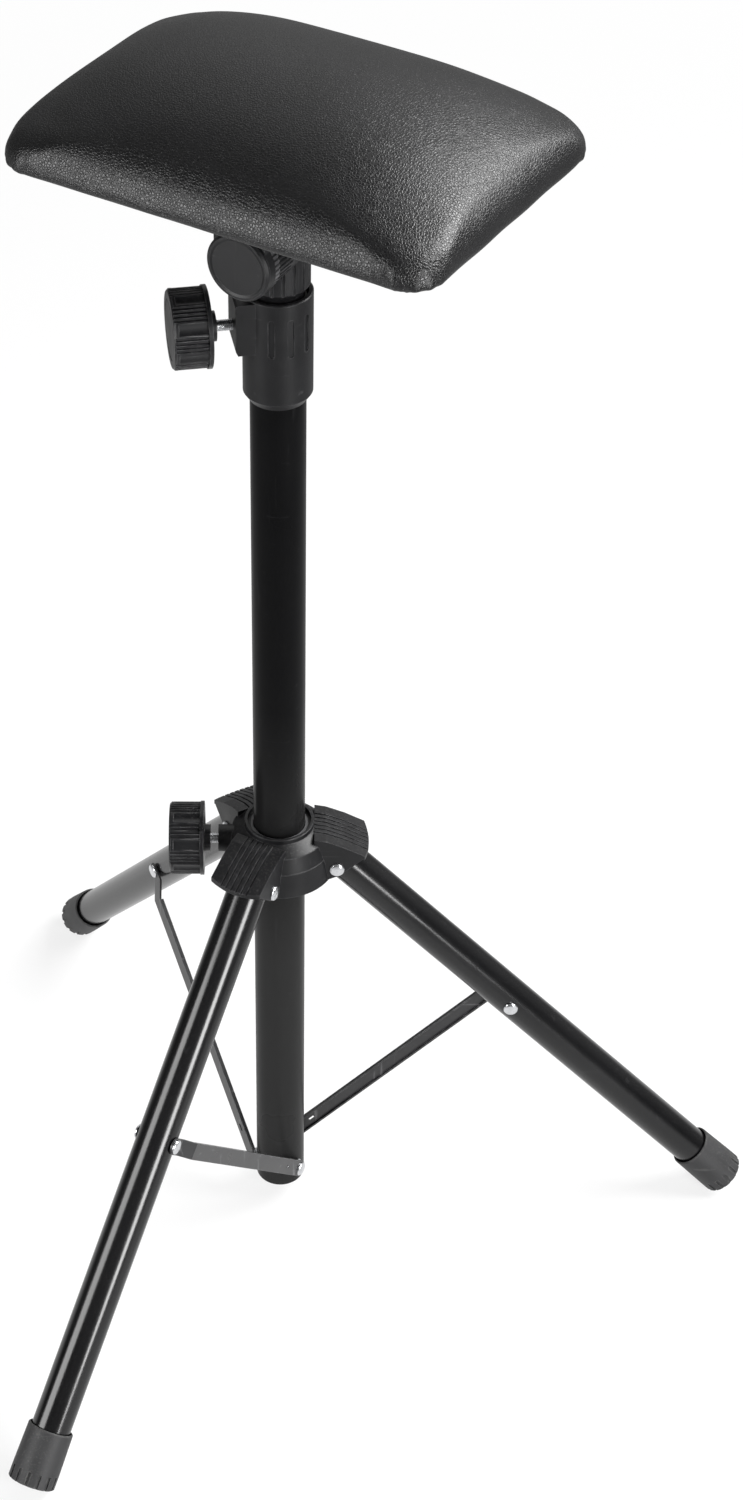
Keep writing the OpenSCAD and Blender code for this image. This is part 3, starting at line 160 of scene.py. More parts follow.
# %% The floor and the room
FLOOR_RADIUS, FLOOR_CORNERS, FLOOR_WHITE = 24, 64, 0.8
GLOW_NEAR, GLOW_FAR = 0.75, 1.0
GLOW_STARTS, GLOW_ENDS = 0.5, 2.2
SHEEN_NEAR, SHEEN_FAR = 0.9, 0.25
SHEEN_STARTS, SHEEN_ENDS = 0.45, 1.3
LOW_WALL, HIGH_WALL, CEILING = 0.2, 1.1, 0.05
WALL_TOP, CEILING_STARTS, CEILING_FULL = 0.75, 0.86, 0.98
FRONT_SHARE, FRONT_SIDE, BACK_SIDE = 0.25, -0.4, 0.5
LEFT_SHARE, LEFT_SIDE, RIGHT_SIDE = 0.3, -0.5, -0.1

turns = np.linspace(0, 2 * math.pi, FLOOR_CORNERS + 1)[:-1]
ring = [(FLOOR_RADIUS * math.cos(a), FLOOR_RADIUS * math.sin(a), 0) for a in turns]
floor_mesh = bpy.data.meshes.new("white_floor")
floor_mesh.from_pydata(ring, [], [list(range(len(ring)))])
floor = bpy.data.objects.new("white_floor", floor_mesh)
bpy.context.scene.collection.objects.link(floor)

floor_white = bpy.data.materials.new("floor_white")
floor_white.use_nodes = True
tree = floor_white.node_tree
tree.nodes.remove(tree.nodes["Principled BSDF"])
lit = add(tree, "ShaderNodeBsdfDiffuse", {"Color": (FLOOR_WHITE, FLOOR_WHITE, FLOOR_WHITE, 1)})
ray = add(tree, "ShaderNodeLightPath").outputs
away = add(tree, "ShaderNodeVectorMath", {0: place_of(tree)}, operation="LENGTH").outputs["Value"]
seen = math_node(tree, "MAXIMUM", ray["Is Camera Ray"], ray["Is Transmission Ray"])
share = math_node(tree, "MULTIPLY", ramp(tree, away, GLOW_STARTS, GLOW_ENDS, GLOW_NEAR, GLOW_FAR), seen)
share = math_node(tree, "MAXIMUM", share, ray["Is Glossy Ray"])
sheen = ramp(tree, away, SHEEN_STARTS, SHEEN_ENDS, SHEEN_NEAR, SHEEN_FAR)
dimmed = math_node(tree, "MULTIPLY", math_node(tree, "SUBTRACT", 1.0, sheen), ray["Is Glossy Ray"])
strength = math_node(tree, "SUBTRACT", 1.0, dimmed)
glow = add(tree, "ShaderNodeEmission", {"Color": (1, 1, 1, 1), "Strength": strength})
both = add(tree, "ShaderNodeMixShader", {0: share, 1: lit.outputs[0], 2: glow.outputs[0]})
tree.links.new(both.outputs[0], tree.nodes["Material Output"].inputs["Surface"])
floor_mesh.materials.append(floor_white)

room = bpy.data.worlds.new("studio")
room.use_nodes = True
bpy.context.scene.world = room
tree = room.node_tree
direction = add(tree, "ShaderNodeTexCoord").outputs["Generated"]
toward = add(tree, "ShaderNodeSeparateXYZ", {"Vector": direction}).outputs
from_floor = ramp(tree, toward["Z"], 0.0, WALL_TOP, LOW_WALL, HIGH_WALL)
to_ceiling = ramp(tree, toward["Z"], CEILING_STARTS, CEILING_FULL, HIGH_WALL, CEILING)
behind = ramp(tree, toward["Y"], FRONT_SIDE, BACK_SIDE, FRONT_SHARE, 1.0)
not_left = ramp(tree, toward["X"], LEFT_SIDE, RIGHT_SIDE, LEFT_SHARE, 1.0)
light = math_node(tree, "MINIMUM", from_floor, to_ceiling)
light = math_node(tree, "MULTIPLY", light, math_node(tree, "MULTIPLY", behind, not_left))
tree.links.new(light, tree.nodes["Background"].inputs["Color"])
bpy.context.scene.view_settings.view_transform = "Standard"
print("floor and room ready")

# %% [markdown]
# Three soft lamps shape the dark paint. Black parts show little colour of their own, so what the eye
# reads is the lamps' reflections: a soft box on the left gives the streak along the left of each tube,
# a tall narrow one on the right gives the sharper streak, and a big one high on the right puts the
# broad highlight on the end of the pad.

# %% The lamps
def soft_box(name, place, aim, width, height, radiance):
    """A rectangular lamp that faces aim; radiance is its brightness as seen."""
    data = bpy.data.lights.new(name, "AREA")
    data.shape, data.size, data.size_y = "RECTANGLE", width, height
    data.energy = radiance * math.pi * width * height
    lamp = bpy.data.objects.new(name, data)
    lamp.location = place
    lamp.rotation_euler = (Vector(aim) - Vector(place)).to_track_quat("-Z", "Y").to_euler()
    lamp.visible_camera = False
    bpy.context.scene.collection.objects.link(lamp)


soft_box("left_box", (-1.00, -0.66, 0.66), (-0.05, -0.1, 0.3), 0.6, 0.8, 7.8)
soft_box("right_strip", (1.20, -1.60, 0.75), (0.0, 0.0, 0.35), 0.5, 1.4, 19.0)
soft_box("back_box", (1.70, 0.25, 2.18), (0.1, -0.1, 0.8), 1.45, 1.4, 17.0)


# %% [markdown]
# ## Effects that several finishes share
#
# Pebbled grain is what an embossed vinyl cover has: rounded cells a millimetre or two across with
# narrow valleys between them. Voronoi noise gives the cells, and a little warping keeps them from
# looking like tiles. Its output is a height, so each material decides how deep the grain is.

# %% Pebbled grain
WARP_SCALE, WARP_REACH, DIMPLES, DIMPLE_SHARE = 500.0, 0.0011, 0.0004, 0.25


def make_pebbles():
    tree, given, put = effect("pebbled_grain", {"Cell": 0.0012, "Valley": 0.22}, ["Height", "Valleys"])
    place = place_of(tree)
    warp = add(tree, "ShaderNodeTexNoise", {"Vector": place, "Scale": WARP_SCALE, "Detail": 2.0})
    off_centre = add(tree, "ShaderNodeVectorMath", {0: warp.outputs["Color"], 1: (0.5,) * 3},
                     operation="SUBTRACT")
    shift = add(tree, "ShaderNodeVectorMath", {0: off_centre.outputs[0], 3: WARP_REACH}, operation="SCALE")
    moved = add(tree, "ShaderNodeVectorMath", {0: place, 1: shift.outputs[0]}, operation="ADD").outputs[0]
    scale = math_node(tree, "DIVIDE", 1.0, given["Cell"])
    cells = add(tree, "ShaderNodeTexVoronoi", {"Vector": moved, "Scale": scale}, feature="DISTANCE_TO_EDGE")
    dome = add(tree, "ShaderNodeMapRange",
               {"Value": cells.outputs["Distance"], "From Min": 0.0, "From Max": given["Valley"]},
               interpolation_type="SMOOTHSTEP").outputs["Result"]
    fine = noise(tree, DIMPLES, 2.0, place)
    height = math_node(tree, "MULTIPLY_ADD", fine, DIMPLE_SHARE, dome)
    tree.links.new(height, put.inputs["Height"])
    tree.links.new(math_node(tree, "SUBTRACT", 1.0, dome), put.inputs["Valleys"])
    return tree


pebbled_grain = make_pebbles()
print("effect:", pebbled_grain.name)

# %% [markdown]
# Edge wear and painted edge highlight is a mask that is 1 on outer corners, where paint and plastic
# are rubbed lighter, and where the lighter colour is also a painted highlight of edges catching the
# light. It compares the real normal with one that is rounded over a small radius. Where the two differ
# there is an edge. Cloudy noise breaks the line up, because wear is never even.

# %% Edge wear and painted edge highlight
FLAT, SHARP = 0.995, 0.86
PATCH_SIZE, PATCH_STARTS, PATCH_FULL = 0.006, 0.38, 0.62


def make_edge_wear_and_highlight():
    tree, given, put = effect("edge_wear_and_highlight", {"Radius": 0.0008, "Amount": 0.6}, ["Mask"])
    rounded = add(tree, "ShaderNodeBevel", {"Radius": given["Radius"]}, samples=4).outputs["Normal"]
    flat = add(tree, "ShaderNodeNewGeometry").outputs["Normal"]
    same = add(tree, "ShaderNodeVectorMath", {0: rounded, 1: flat}, operation="DOT_PRODUCT")
    edge = ramp(tree, same.outputs["Value"], FLAT, SHARP)
    patches = ramp(tree, noise(tree, PATCH_SIZE, 4.0), PATCH_STARTS, PATCH_FULL)
    mask = math_node(tree, "MULTIPLY", edge, patches)
    tree.links.new(math_node(tree, "MULTIPLY", mask, given["Amount"]), put.inputs["Mask"])
    return tree


edge_wear_and_highlight = make_edge_wear_and_highlight()
print("effect:", edge_wear_and_highlight.name)

# %% [markdown]
# Clouding is slow change over a few centimetres: hands, cleaning and moulding leave no surface quite
# even. Fine texture is the opposite, a height that changes over fractions of a millimetre, such as
# the sparked surface of a plastic mould or the orange peel of powder paint.

# %% Clouding and fine texture
def make_clouding():
    tree, given, put = effect("clouding", {"Size": 0.02}, ["Value"])
    soft = noise(tree, given["Size"], 3.0)
    tree.links.new(ramp(tree, soft, 0.3, 0.7), put.inputs["Value"])
    return tree


def make_fine_texture():
    tree, given, put = effect("fine_texture", {"Size": 0.0005}, ["Height"])
    tree.links.new(noise(tree, given["Size"], 3.0, roughness=0.6), put.inputs["Height"])
    return tree


clouding, fine_texture = make_clouding(), make_fine_texture()
print("effects:", clouding.name, fine_texture.name)

# %% [markdown]
# Scuffs are thin stretched streaks. Noise that is squeezed along one axis gives streaks, and a high
# threshold leaves only a few of them. Two directions are laid over each other.

# %% Scuffs
STRETCHES, STREAK_CONTRAST = ((1.0, 1.0, 0.06), (0.07, 0.9, 1.0)), 14.0


def make_scuffs():
    tree, given, put = effect("scuffs", {"Size": 0.004, "Rarity": 0.66}, ["Mask"])
    found = []
    for stretch in STRETCHES:
        long_way = add(tree, "ShaderNodeVectorMath", {0: place_of(tree), 1: stretch}, operation="MULTIPLY")
        streak = noise(tree, given["Size"], 4.0, long_way.outputs[0])
        over = math_node(tree, "SUBTRACT", streak, given["Rarity"])
        found.append(math_node(tree, "MULTIPLY", over, STREAK_CONTRAST, clamp=True))
    tree.links.new(math_node(tree, "MAXIMUM", *found), put.inputs["Mask"])
    return tree


scuffs = make_scuffs()
print("effect:", scuffs.name)

# %% [markdown]
# Dust settles on what faces up and stays in the open. The mask is the upward part of the normal,
# times speckled noise.

# %% Settled dust
UPRIGHT, LEVEL = 0.35, 0.95
SPECK_STARTS, SPECK_FULL = 0.52, 0.72


def make_dust():
    tree, given, put = effect("settled_dust", {"Size": 0.0012, "Amount": 0.3}, ["Mask"])
    normal = add(tree, "ShaderNodeNewGeometry").outputs["Normal"]
    upward = add(tree, "ShaderNodeSeparateXYZ", {"Vector": normal}).outputs["Z"]
    facing = ramp(tree, upward, UPRIGHT, LEVEL)
    specks = ramp(tree, noise(tree, given["Size"], 5.0, roughness=0.7), SPECK_STARTS, SPECK_FULL)
    mask = math_node(tree, "MULTIPLY", facing, specks)
    tree.links.new(math_node(tree, "MULTIPLY", mask, given["Amount"]), put.inputs["Mask"])
    return tree


settled_dust = make_dust()
print("effect:", settled_dust.name)

# %% [markdown]
# A weave is two sets of threads that pass over and under each other. Two waves at right angles give
# the threads, and a checker of the same pitch says which set is on top. A second mask marks the low
# gaps between the threads, where painted shade goes.

# %% Woven cloth
def make_weave():
    tree, given, put = effect("weave", {"Thread": 0.0006, "Turn": 0.0}, ["Height", "Painted_Gap_Shade"])
    turned = add(tree, "ShaderNodeVectorRotate", {"Vector": place_of(tree), "Angle": given["Turn"]},
                 rotation_type="Z_AXIS").outputs[0]
    per_metre = math_node(tree, "DIVIDE", math.pi, given["Thread"])
    sines = []
    for axis in ("X", "Y"):
        along = add(tree, "ShaderNodeSeparateXYZ", {"Vector": turned}).outputs[axis]
        sines.append(math_node(tree, "SINE", math_node(tree, "MULTIPLY", along, per_metre)))
    round_x, round_y = (math_node(tree, "ABSOLUTE", s) for s in sines)
    over = math_node(tree, "GREATER_THAN", math_node(tree, "MULTIPLY", *sines), 0.0)
    on_top = math_node(tree, "MULTIPLY", round_x, over)
    below = math_node(tree, "MULTIPLY", round_y, math_node(tree, "SUBTRACT", 1.0, over))
    height = math_node(tree, "ADD", on_top, below)
    tree.links.new(height, put.inputs["Height"])
    # Painted shade: this mask is 1 in the low gaps between threads.
    tree.links.new(ramp(tree, height, 0.35, 0.05), put.inputs["Painted_Gap_Shade"])
    return tree


weave = make_weave()
print("effect:", weave.name)


# %% [markdown]
# ## The finishes
#
# Most hard parts are made alike: a base colour that clouds a little, a texture that changes the
# normal, lighter edges that are partly rubbed wear and partly a painted highlight, scuffs and a trace
# of dust. One function builds that from the shared effects, and every finish gives it its own values.
# A finish may also have its lower part painted a lighter grey, as painted light. The gloss values that
# are the same all over are set on the shader itself.

# %% A finish for hard parts
def use(tree, group, **values):
    """Puts an effect group in a tree with its own values; returns its outputs."""
    made = add(tree, "ShaderNodeGroup", node_tree=group)
    for name, value in values.items():
        made.inputs[name].default_value = value
    return made.outputs


def new_finish(name):
    material = bpy.data.materials.new(name)
    material.use_nodes = True
    tree = material.node_tree
    return material, tree, tree.nodes["Principled BSDF"]


def connect(tree, shader, **sockets):
    for name, socket in sockets.items():
        tree.links.new(socket, shader.inputs[name.replace("_", " ")])


DUST_COLOUR = (0.32, 0.31, 0.29, 1)
MARK_DULLS, DUST_DULLS = 0.12, 0.4


def hard_finish(name, colour, rough, spread=0.05, metal=0.0, specular=0.5, grit=(0.0005, 0.00002),
                worn_and_highlit=None, wear=(0.0008, 0.5), scuffed=0.3, dust=0.1, cloud=0.02, shade=0.75,
                rounding=0.0005, painted_low_light=None):
    """A hard finish: colour and gloss that vary, fine texture, wear with painted edge highlights, scuffs
    and dust.

    The lower part's lighter grey, painted light, has the height above which there is none, the height below
    which it is full, and its grey.
    """
    material, tree, shader = new_finish(name)
    cloudy = use(tree, clouding, Size=cloud)["Value"]
    tint = blend_colours(tree, cloudy, (*(c * shade for c in colour), 1), (*colour, 1))
    if painted_low_light:
        # Painted light: below full_below the colour turns to a lighter grey.
        clear_above, full_below, grey = painted_low_light
        height = add(tree, "ShaderNodeSeparateXYZ", {"Vector": place_of(tree)}).outputs["Z"]
        low = ramp(tree, height, clear_above, full_below)
        tint = blend_colours(tree, low, tint, (grey, grey, grey, 1))
    # Painted highlight: the edge mask lightens outer edges, partly as rubbed wear and partly as light
    # caught by the edges.
    rubbed_and_highlit = use(tree, edge_wear_and_highlight, Radius=wear[0], Amount=wear[1])["Mask"]
    marks_and_highlights = math_node(tree, "MULTIPLY_ADD", use(tree, scuffs)["Mask"], scuffed, rubbed_and_highlit, clamp=True)
    tint = blend_colours(tree, marks_and_highlights, tint, (*(worn_and_highlit or [min(1.0, c * 2 + 0.02) for c in colour]), 1))
    specks = use(tree, settled_dust, Amount=dust)["Mask"]
    tint = blend_colours(tree, specks, tint, DUST_COLOUR)
    gloss = ramp(tree, cloudy, 0.0, 1.0, rough - spread, rough + spread)
    gloss = math_node(tree, "MULTIPLY_ADD", marks_and_highlights, MARK_DULLS, gloss)
    gloss = math_node(tree, "MULTIPLY_ADD", specks, DUST_DULLS, gloss, clamp=True)
    grain = use(tree, fine_texture, Size=grit[0])["Height"]
    corners = add(tree, "ShaderNodeBevel", {"Radius": rounding}, samples=4).outputs["Normal"]
    relief = add(tree, "ShaderNodeBump", {"Height": grain, "Distance": grit[1], "Normal": corners})
    shader.inputs["Metallic"].default_value = metal
    shader.inputs["Specular IOR Level"].default_value = specular
    connect(tree, shader, Base_Color=tint, Roughness=gloss, Normal=relief.outputs["Normal"])
    return material


# %% [markdown]
# The tubes wear black powder paint: smooth, nearly black, glossy enough to show a lamp as a narrow
# streak, and lighter at the ends, partly from rubbed wear and partly as a painted highlight. The hub,
# the collar and the hinge are moulded plastic, a dark grey that the mould's texture makes matt. The
# knobs are the same plastic, polished a little by hands. The column's paint is duller than the legs',
# and its lower end is painted a lighter grey, as painted light. The feet are rubber, the greyest and
# dullest of the dark parts.

# %% Dark finishes
leg_paint = hard_finish("leg_paint", (0.004, 0.004, 0.0044), 0.18, spread=0.03, specular=0.5,
                        grit=(0.0014, 0.000006), worn_and_highlit=(0.05, 0.05, 0.052), wear=(0.0006, 0.4),
                        scuffed=0.10, dust=0.03, cloud=0.05)
# The column's lower end gets a lighter grey as painted light.
column_paint = hard_finish("column_paint", (0.003, 0.003, 0.0033), 0.30, spread=0.04, specular=0.06,
                           grit=(0.0012, 0.000008), worn_and_highlit=(0.04, 0.04, 0.042), wear=(0.0006, 0.4),
                           scuffed=0.10, dust=0.03, cloud=0.05, painted_low_light=(0.42, 0.22, 0.017))
moulded_plastic = hard_finish("moulded_plastic", (0.006, 0.006, 0.0068), 0.40, specular=0.3,
                              grit=(0.0004, 0.00003), worn_and_highlit=(0.07, 0.07, 0.073), wear=(0.0009, 0.6),
                              scuffed=0.2)
knob_plastic = hard_finish("knob_plastic", (0.007, 0.007, 0.008), 0.32, specular=0.35,
                           grit=(0.0004, 0.00002), worn_and_highlit=(0.08, 0.08, 0.083), wear=(0.0009, 0.7),
                           scuffed=0.25)
cap_plastic = hard_finish("cap_plastic", (0.009, 0.009, 0.0096), 0.34, specular=0.3,
                          grit=(0.0006, 0.00001), worn_and_highlit=(0.12, 0.12, 0.12), scuffed=0.35)
foot_rubber = hard_finish("foot_rubber", (0.024, 0.024, 0.025), 0.55, specular=0.35,
                          grit=(0.0006, 0.00004), worn_and_highlit=(0.10, 0.10, 0.097), wear=(0.0012, 0.7),
                          scuffed=0.3, dust=0.2)
brace_paint = hard_finish("brace_paint", (0.020, 0.020, 0.021), 0.32, grit=(0.0010, 0.000012),
                          worn_and_highlit=(0.30, 0.30, 0.31), wear=(0.0005, 0.6), scuffed=0.25, rounding=0.0003)
print("dark finishes:", leg_paint.name, moulded_plastic.name, knob_plastic.name, foot_rubber.name)

# %% [markdown]
# The rivets and the post are bright steel, and the ring of teeth is a darker one. Nuts, most screws
# and washers have a duller zinc coat. Metal shows its surroundings, so most of its look is the gloss
# and the fine scratches in it. The bushes that the tubes slide in are white nylon; where the hub hides
# them they get a grey copy of it, painted shade.

# %% Metal and nylon
rivet_steel = hard_finish("rivet_steel", (0.78, 0.79, 0.81), 0.24, metal=1.0, grit=(0.0008, 0.00001),
                          worn_and_highlit=(0.9, 0.9, 0.9), scuffed=0.4, shade=0.85, cloud=0.004, rounding=0.0003)
dark_steel = hard_finish("dark_steel", (0.26, 0.26, 0.27), 0.30, metal=1.0, grit=(0.0006, 0.00001),
                         worn_and_highlit=(0.75, 0.75, 0.76), wear=(0.0006, 0.8), scuffed=0.3, rounding=0.0002)
zinc_steel = hard_finish("zinc_steel", (0.56, 0.57, 0.59), 0.38, metal=1.0, grit=(0.0007, 0.00002),
                         worn_and_highlit=(0.75, 0.75, 0.76), scuffed=0.4, shade=0.8, cloud=0.006, rounding=0.0003)
post_chrome = hard_finish("post_chrome", (0.80, 0.81, 0.83), 0.12, metal=1.0, spread=0.03,
                          grit=(0.002, 0.000005), worn_and_highlit=(0.6, 0.6, 0.6), scuffed=0.5, shade=0.92)
plate_paint = hard_finish("plate_paint", (0.024, 0.024, 0.025), 0.42, grit=(0.0008, 0.00002),
                          worn_and_highlit=(0.35, 0.35, 0.36), wear=(0.0008, 0.6))
white_nylon = hard_finish("white_nylon", (0.70, 0.69, 0.65), 0.42, grit=(0.0006, 0.00001),
                          worn_and_highlit=(0.78, 0.77, 0.74), scuffed=0.2, shade=0.92)
# Painted shade: a grey copy of the white nylon for the bushes that the hub hides.
nylon_painted_shade = hard_finish("nylon_painted_shade", (0.12, 0.12, 0.125), 0.45, grit=(0.0006, 0.00001))
print("bright finishes:", rivet_steel.name, zinc_steel.name, post_chrome.name, white_nylon.name)

# %% [markdown]
# The cover is black vinyl with a pebbled grain. The pebbles come from the shared effect, they are
# bumps of about a tenth of a millimetre, and their valleys are duller than their tops and painted
# darker, as painted shade.
# The board inside the pad is plywood, whose rings are stretched noise, and whose plies are bands
# across its thickness. The cloth under the board is a thin black weave with painted shade in its gaps.

# %% Cover, board and lining
PAD_TURN = math.radians(-31.2)
PLY = 0.0024


def cover_finish():
    material, tree, shader = new_finish("pebbled_cover")
    grain = use(tree, pebbled_grain, Cell=0.0015, Valley=0.26)
    cloudy = use(tree, clouding, Size=0.035)["Value"]
    tint = blend_colours(tree, cloudy, (0.0035, 0.0035, 0.0039, 1), (0.005, 0.005, 0.0056, 1))
    # Painted shade: the grain's valleys are painted darker.
    painted_valley_shade = math_node(tree, "MULTIPLY", grain["Valleys"], 0.6)
    tint = blend_colours(tree, painted_valley_shade, tint, (0.0016, 0.0016, 0.0018, 1))
    specks = use(tree, settled_dust, Amount=0.03)["Mask"]
    tint = blend_colours(tree, specks, tint, DUST_COLOUR)
    gloss = ramp(tree, grain["Valleys"], 0.0, 1.0, 0.25, 0.42)
    gloss = math_node(tree, "MULTIPLY_ADD", cloudy, 0.05, gloss)
    relief = add(tree, "ShaderNodeBump", {"Height": grain["Height"], "Distance": 0.00011})
    shader.inputs["Specular IOR Level"].default_value = 0.5
    connect(tree, shader, Base_Color=tint, Roughness=gloss, Normal=relief.outputs["Normal"])
    return material


def board_finish():
    material, tree, shader = new_finish("plywood")
    turned = add(tree, "ShaderNodeVectorRotate", {"Vector": place_of(tree), "Angle": -PAD_TURN},
                 rotation_type="Z_AXIS").outputs[0]
    long_way = add(tree, "ShaderNodeVectorMath", {0: turned, 1: (0.08, 1.0, 1.0)}, operation="MULTIPLY")
    rings = noise(tree, 0.006, 4.0, long_way.outputs[0])
    tint = blend_colours(tree, ramp(tree, rings, 0.3, 0.7), (0.42, 0.27, 0.14, 1), (0.60, 0.43, 0.25, 1))
    height = add(tree, "ShaderNodeSeparateXYZ", {"Vector": place_of(tree)}).outputs["Z"]
    plies = math_node(tree, "SINE", math_node(tree, "MULTIPLY", height, math.pi / PLY))
    tint = blend_colours(tree, ramp(tree, plies, -0.2, 0.2, 0.0, 0.25), tint, (0.30, 0.18, 0.09, 1))
    relief = add(tree, "ShaderNodeBump", {"Height": rings, "Distance": 0.0001})
    shader.inputs["Roughness"].default_value = 0.7
    connect(tree, shader, Base_Color=tint, Normal=relief.outputs["Normal"])
    return material


def lining_finish():
    material, tree, shader = new_finish("lining_cloth")
    threads = use(tree, weave, Thread=0.0007, Turn=-PAD_TURN)
    cloudy = use(tree, clouding, Size=0.02)["Value"]
    tint = blend_colours(tree, cloudy, (0.014, 0.014, 0.015, 1), (0.022, 0.022, 0.023, 1))
    # Painted shade: the gaps between threads are painted nearly black.
    tint = blend_colours(tree, threads["Painted_Gap_Shade"], tint, (0.004, 0.004, 0.004, 1))
    relief = add(tree, "ShaderNodeBump", {"Height": threads["Height"], "Distance": 0.0002})
    shader.inputs["Roughness"].default_value = 0.85
    shader.inputs["Sheen Weight"].default_value = 0.15
    connect(tree, shader, Base_Color=tint, Normal=relief.outputs["Normal"])
    return material


pebbled_cover, plywood, lining_cloth = cover_finish(), board_finish(), lining_finish()
print("soft finishes:", pebbled_cover.name, plywood.name, lining_cloth.name)


# %% [markdown]
# ## Dressing the CAD parts
#
# The rigid parts keep their shapes and only get a finish. Their names say what each one is, so one
# table from finish to parts is easy to read and to change. Parts that come in threes have a number.

# %% The rigid parts get their finishes
def in_threes(*names):
    return [f"{name}_{i}" for name in names for i in (1, 2, 3)]


DRESS = {
    leg_paint: in_threes("leg_tube"),
    column_paint: ["column_tube"],
    dark_steel: ["tilt_ring"],
    moulded_plastic: ["hub_body", "collar", "tilt_lower", "tilt_upper", "tilt_disc", "column_plug",
                      *in_threes("leg_knuckle")],
    knob_plastic: ["hub_knob", "height_knob", "tilt_knob"],
    cap_plastic: ["hub_knob_cap", "height_knob_cap"],
    foot_rubber: in_threes("foot"),
    brace_paint: in_threes("brace"),
    plate_paint: ["mounting_plate"],
    rivet_steel: ["hub_rivets", "tilt_bolt", "hub_stud", "height_stud",
                  *in_threes("brace_pin", "base_rivet")],
    zinc_steel: ["hub_nut", "collar_nut", "hub_shoe", "height_shoe", "base_washers", "post_retainer",
                 "stem_pin", "tilt_washer", "tilt_knob_insert", "bracket_screws", "plate_screws",
                 "pad_tee_nuts", "pad_staples"],
    post_chrome: ["post_tube"],
    white_nylon: ["column_bush", "post_ferrule"],
    nylon_painted_shade: ["hub_bush", "post_spindle"],
    plywood: ["pad_board"],
}
dressed = 0
for finish, names in DRESS.items():
    for name in names:
        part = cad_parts[name]
        if not part.material_slots:
            part.data.materials.append(None)
        for place in part.material_slots:
            place.link = "OBJECT"
            place.material = finish
        dressed += 1
print("dressed", dressed, "of", len(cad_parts), "parts")


# %% [markdown]
# ## The padded rest
#
# The rest is a plywood board with foam on it and one piece of vinyl pulled over both. The vinyl is
# drawn in at the hem and stapled under the board, so the rest has a crowned top, full shoulders and
# crisp lower edges, with small tucks where the vinyl is gathered at the corners. It is built as rings
# of points, from the cut edge under the board, round the hem and up to the middle of the crown. Rings
# suit this shape, because the hem, the tucks and the fold all follow them. For the underside a table
# has each ring's inset, height and corner radius in millimetres.

# %% The pad's rings
PAD_LONG, PAD_WIDE = 263.8 * MM, 188.6 * MM
SIDE_HIGH, HEM_IN = 5.2 * MM, 2.0 * MM
SHOULDER_HIGH, SHOULDER_WIDE, SHOULDER_END = 42.8 * MM, 60.4 * MM, math.radians(52)
CROWN_HIGH = 20.0 * MM
CORNER, CORNER_GROWTH = 23.0 * MM, 3.0
ROUNDEST = 0.9
PER_CORNER, PER_LONG, PER_SHORT = 30, 38, 26
CORNERS = ((1, 1), (-1, 1), (-1, -1), (1, -1))

cover_low, cover_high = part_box("pad_cover")
pad_centre = (cover_low + cover_high) / 2
pad_place = (Matrix.Translation((pad_centre.x, pad_centre.y, cover_low.z))
             @ Matrix.Rotation(PAD_TURN, 4, "Z"))


def oblong_ring(half_long, half_wide, corner, per_corner, per_side):
    """Points round an oblong with round corners; per_side has the steps of a long and a short side."""
    x, y = half_long - corner, half_wide - corner
    arcs = []
    for quarter, (side_x, side_y) in enumerate(CORNERS):
        turn = np.linspace(0, math.pi / 2, per_corner + 1) + quarter * math.pi / 2
        across, along = corner * np.cos(turn), corner * np.sin(turn)
        arcs.append(np.column_stack((side_x * x + across, side_y * y + along)))
    points = []
    for quarter, arc in enumerate(arcs):
        steps = per_side[quarter % 2]
        share = (np.arange(1, steps) / steps)[:, None]
        points += [arc, arc[-1] * (1 - share) + arcs[(quarter + 1) % 4][0] * share]
    return np.concatenate(points)


def plan_ring(inset, corner):
    """Points round the pad in plan, drawn in by inset."""
    half_long, half_wide = PAD_LONG / 2 - inset, PAD_WIDE / 2 - inset
    corner = min(corner, half_wide * ROUNDEST)
    return oblong_ring(half_long, half_wide, corner, PER_CORNER, (PER_LONG, PER_SHORT))


def crown_height(points, shrink):
    """Height of the crown over points that lie inside the shoulder's last ring."""
    inset = shrink + (SHOULDER_WIDE - shrink) * (1 - math.cos(SHOULDER_END))
    across_x = np.abs(points[:, 0]) / (PAD_LONG / 2 - inset)
    across_y = points[:, 1] / (PAD_WIDE / 2 - inset)
    base = SIDE_HIGH + (SHOULDER_HIGH - shrink) * math.sin(SHOULDER_END)
    rise = CROWN_HIGH - shrink * (1 - math.sin(SHOULDER_END))
    return base + rise * (1 - across_x ** 3) * (1 - across_y ** 2)


UNDER = [(28.2, 1.1, 5.5), (28.2, 0.3, 5.5), (27.7, 0.0, 5.8), (22, 0, 9), (16, 0, 12), (11, 0, 14.5),
         (7, 0, 16.4), (4.6, 0, 17.6), (3.3, 0.06, 18.2), (2.5, 0.34, 18.5), (2.0, 0.8, 18.7)]
SIDE_STEPS = (1.4, 2.2, 3.1, 4.1)
SHOULDER_STEPS, CROWN_STEPS = 15, 12
SOFT_STARTS, SOFT_GROWS = 5, 6


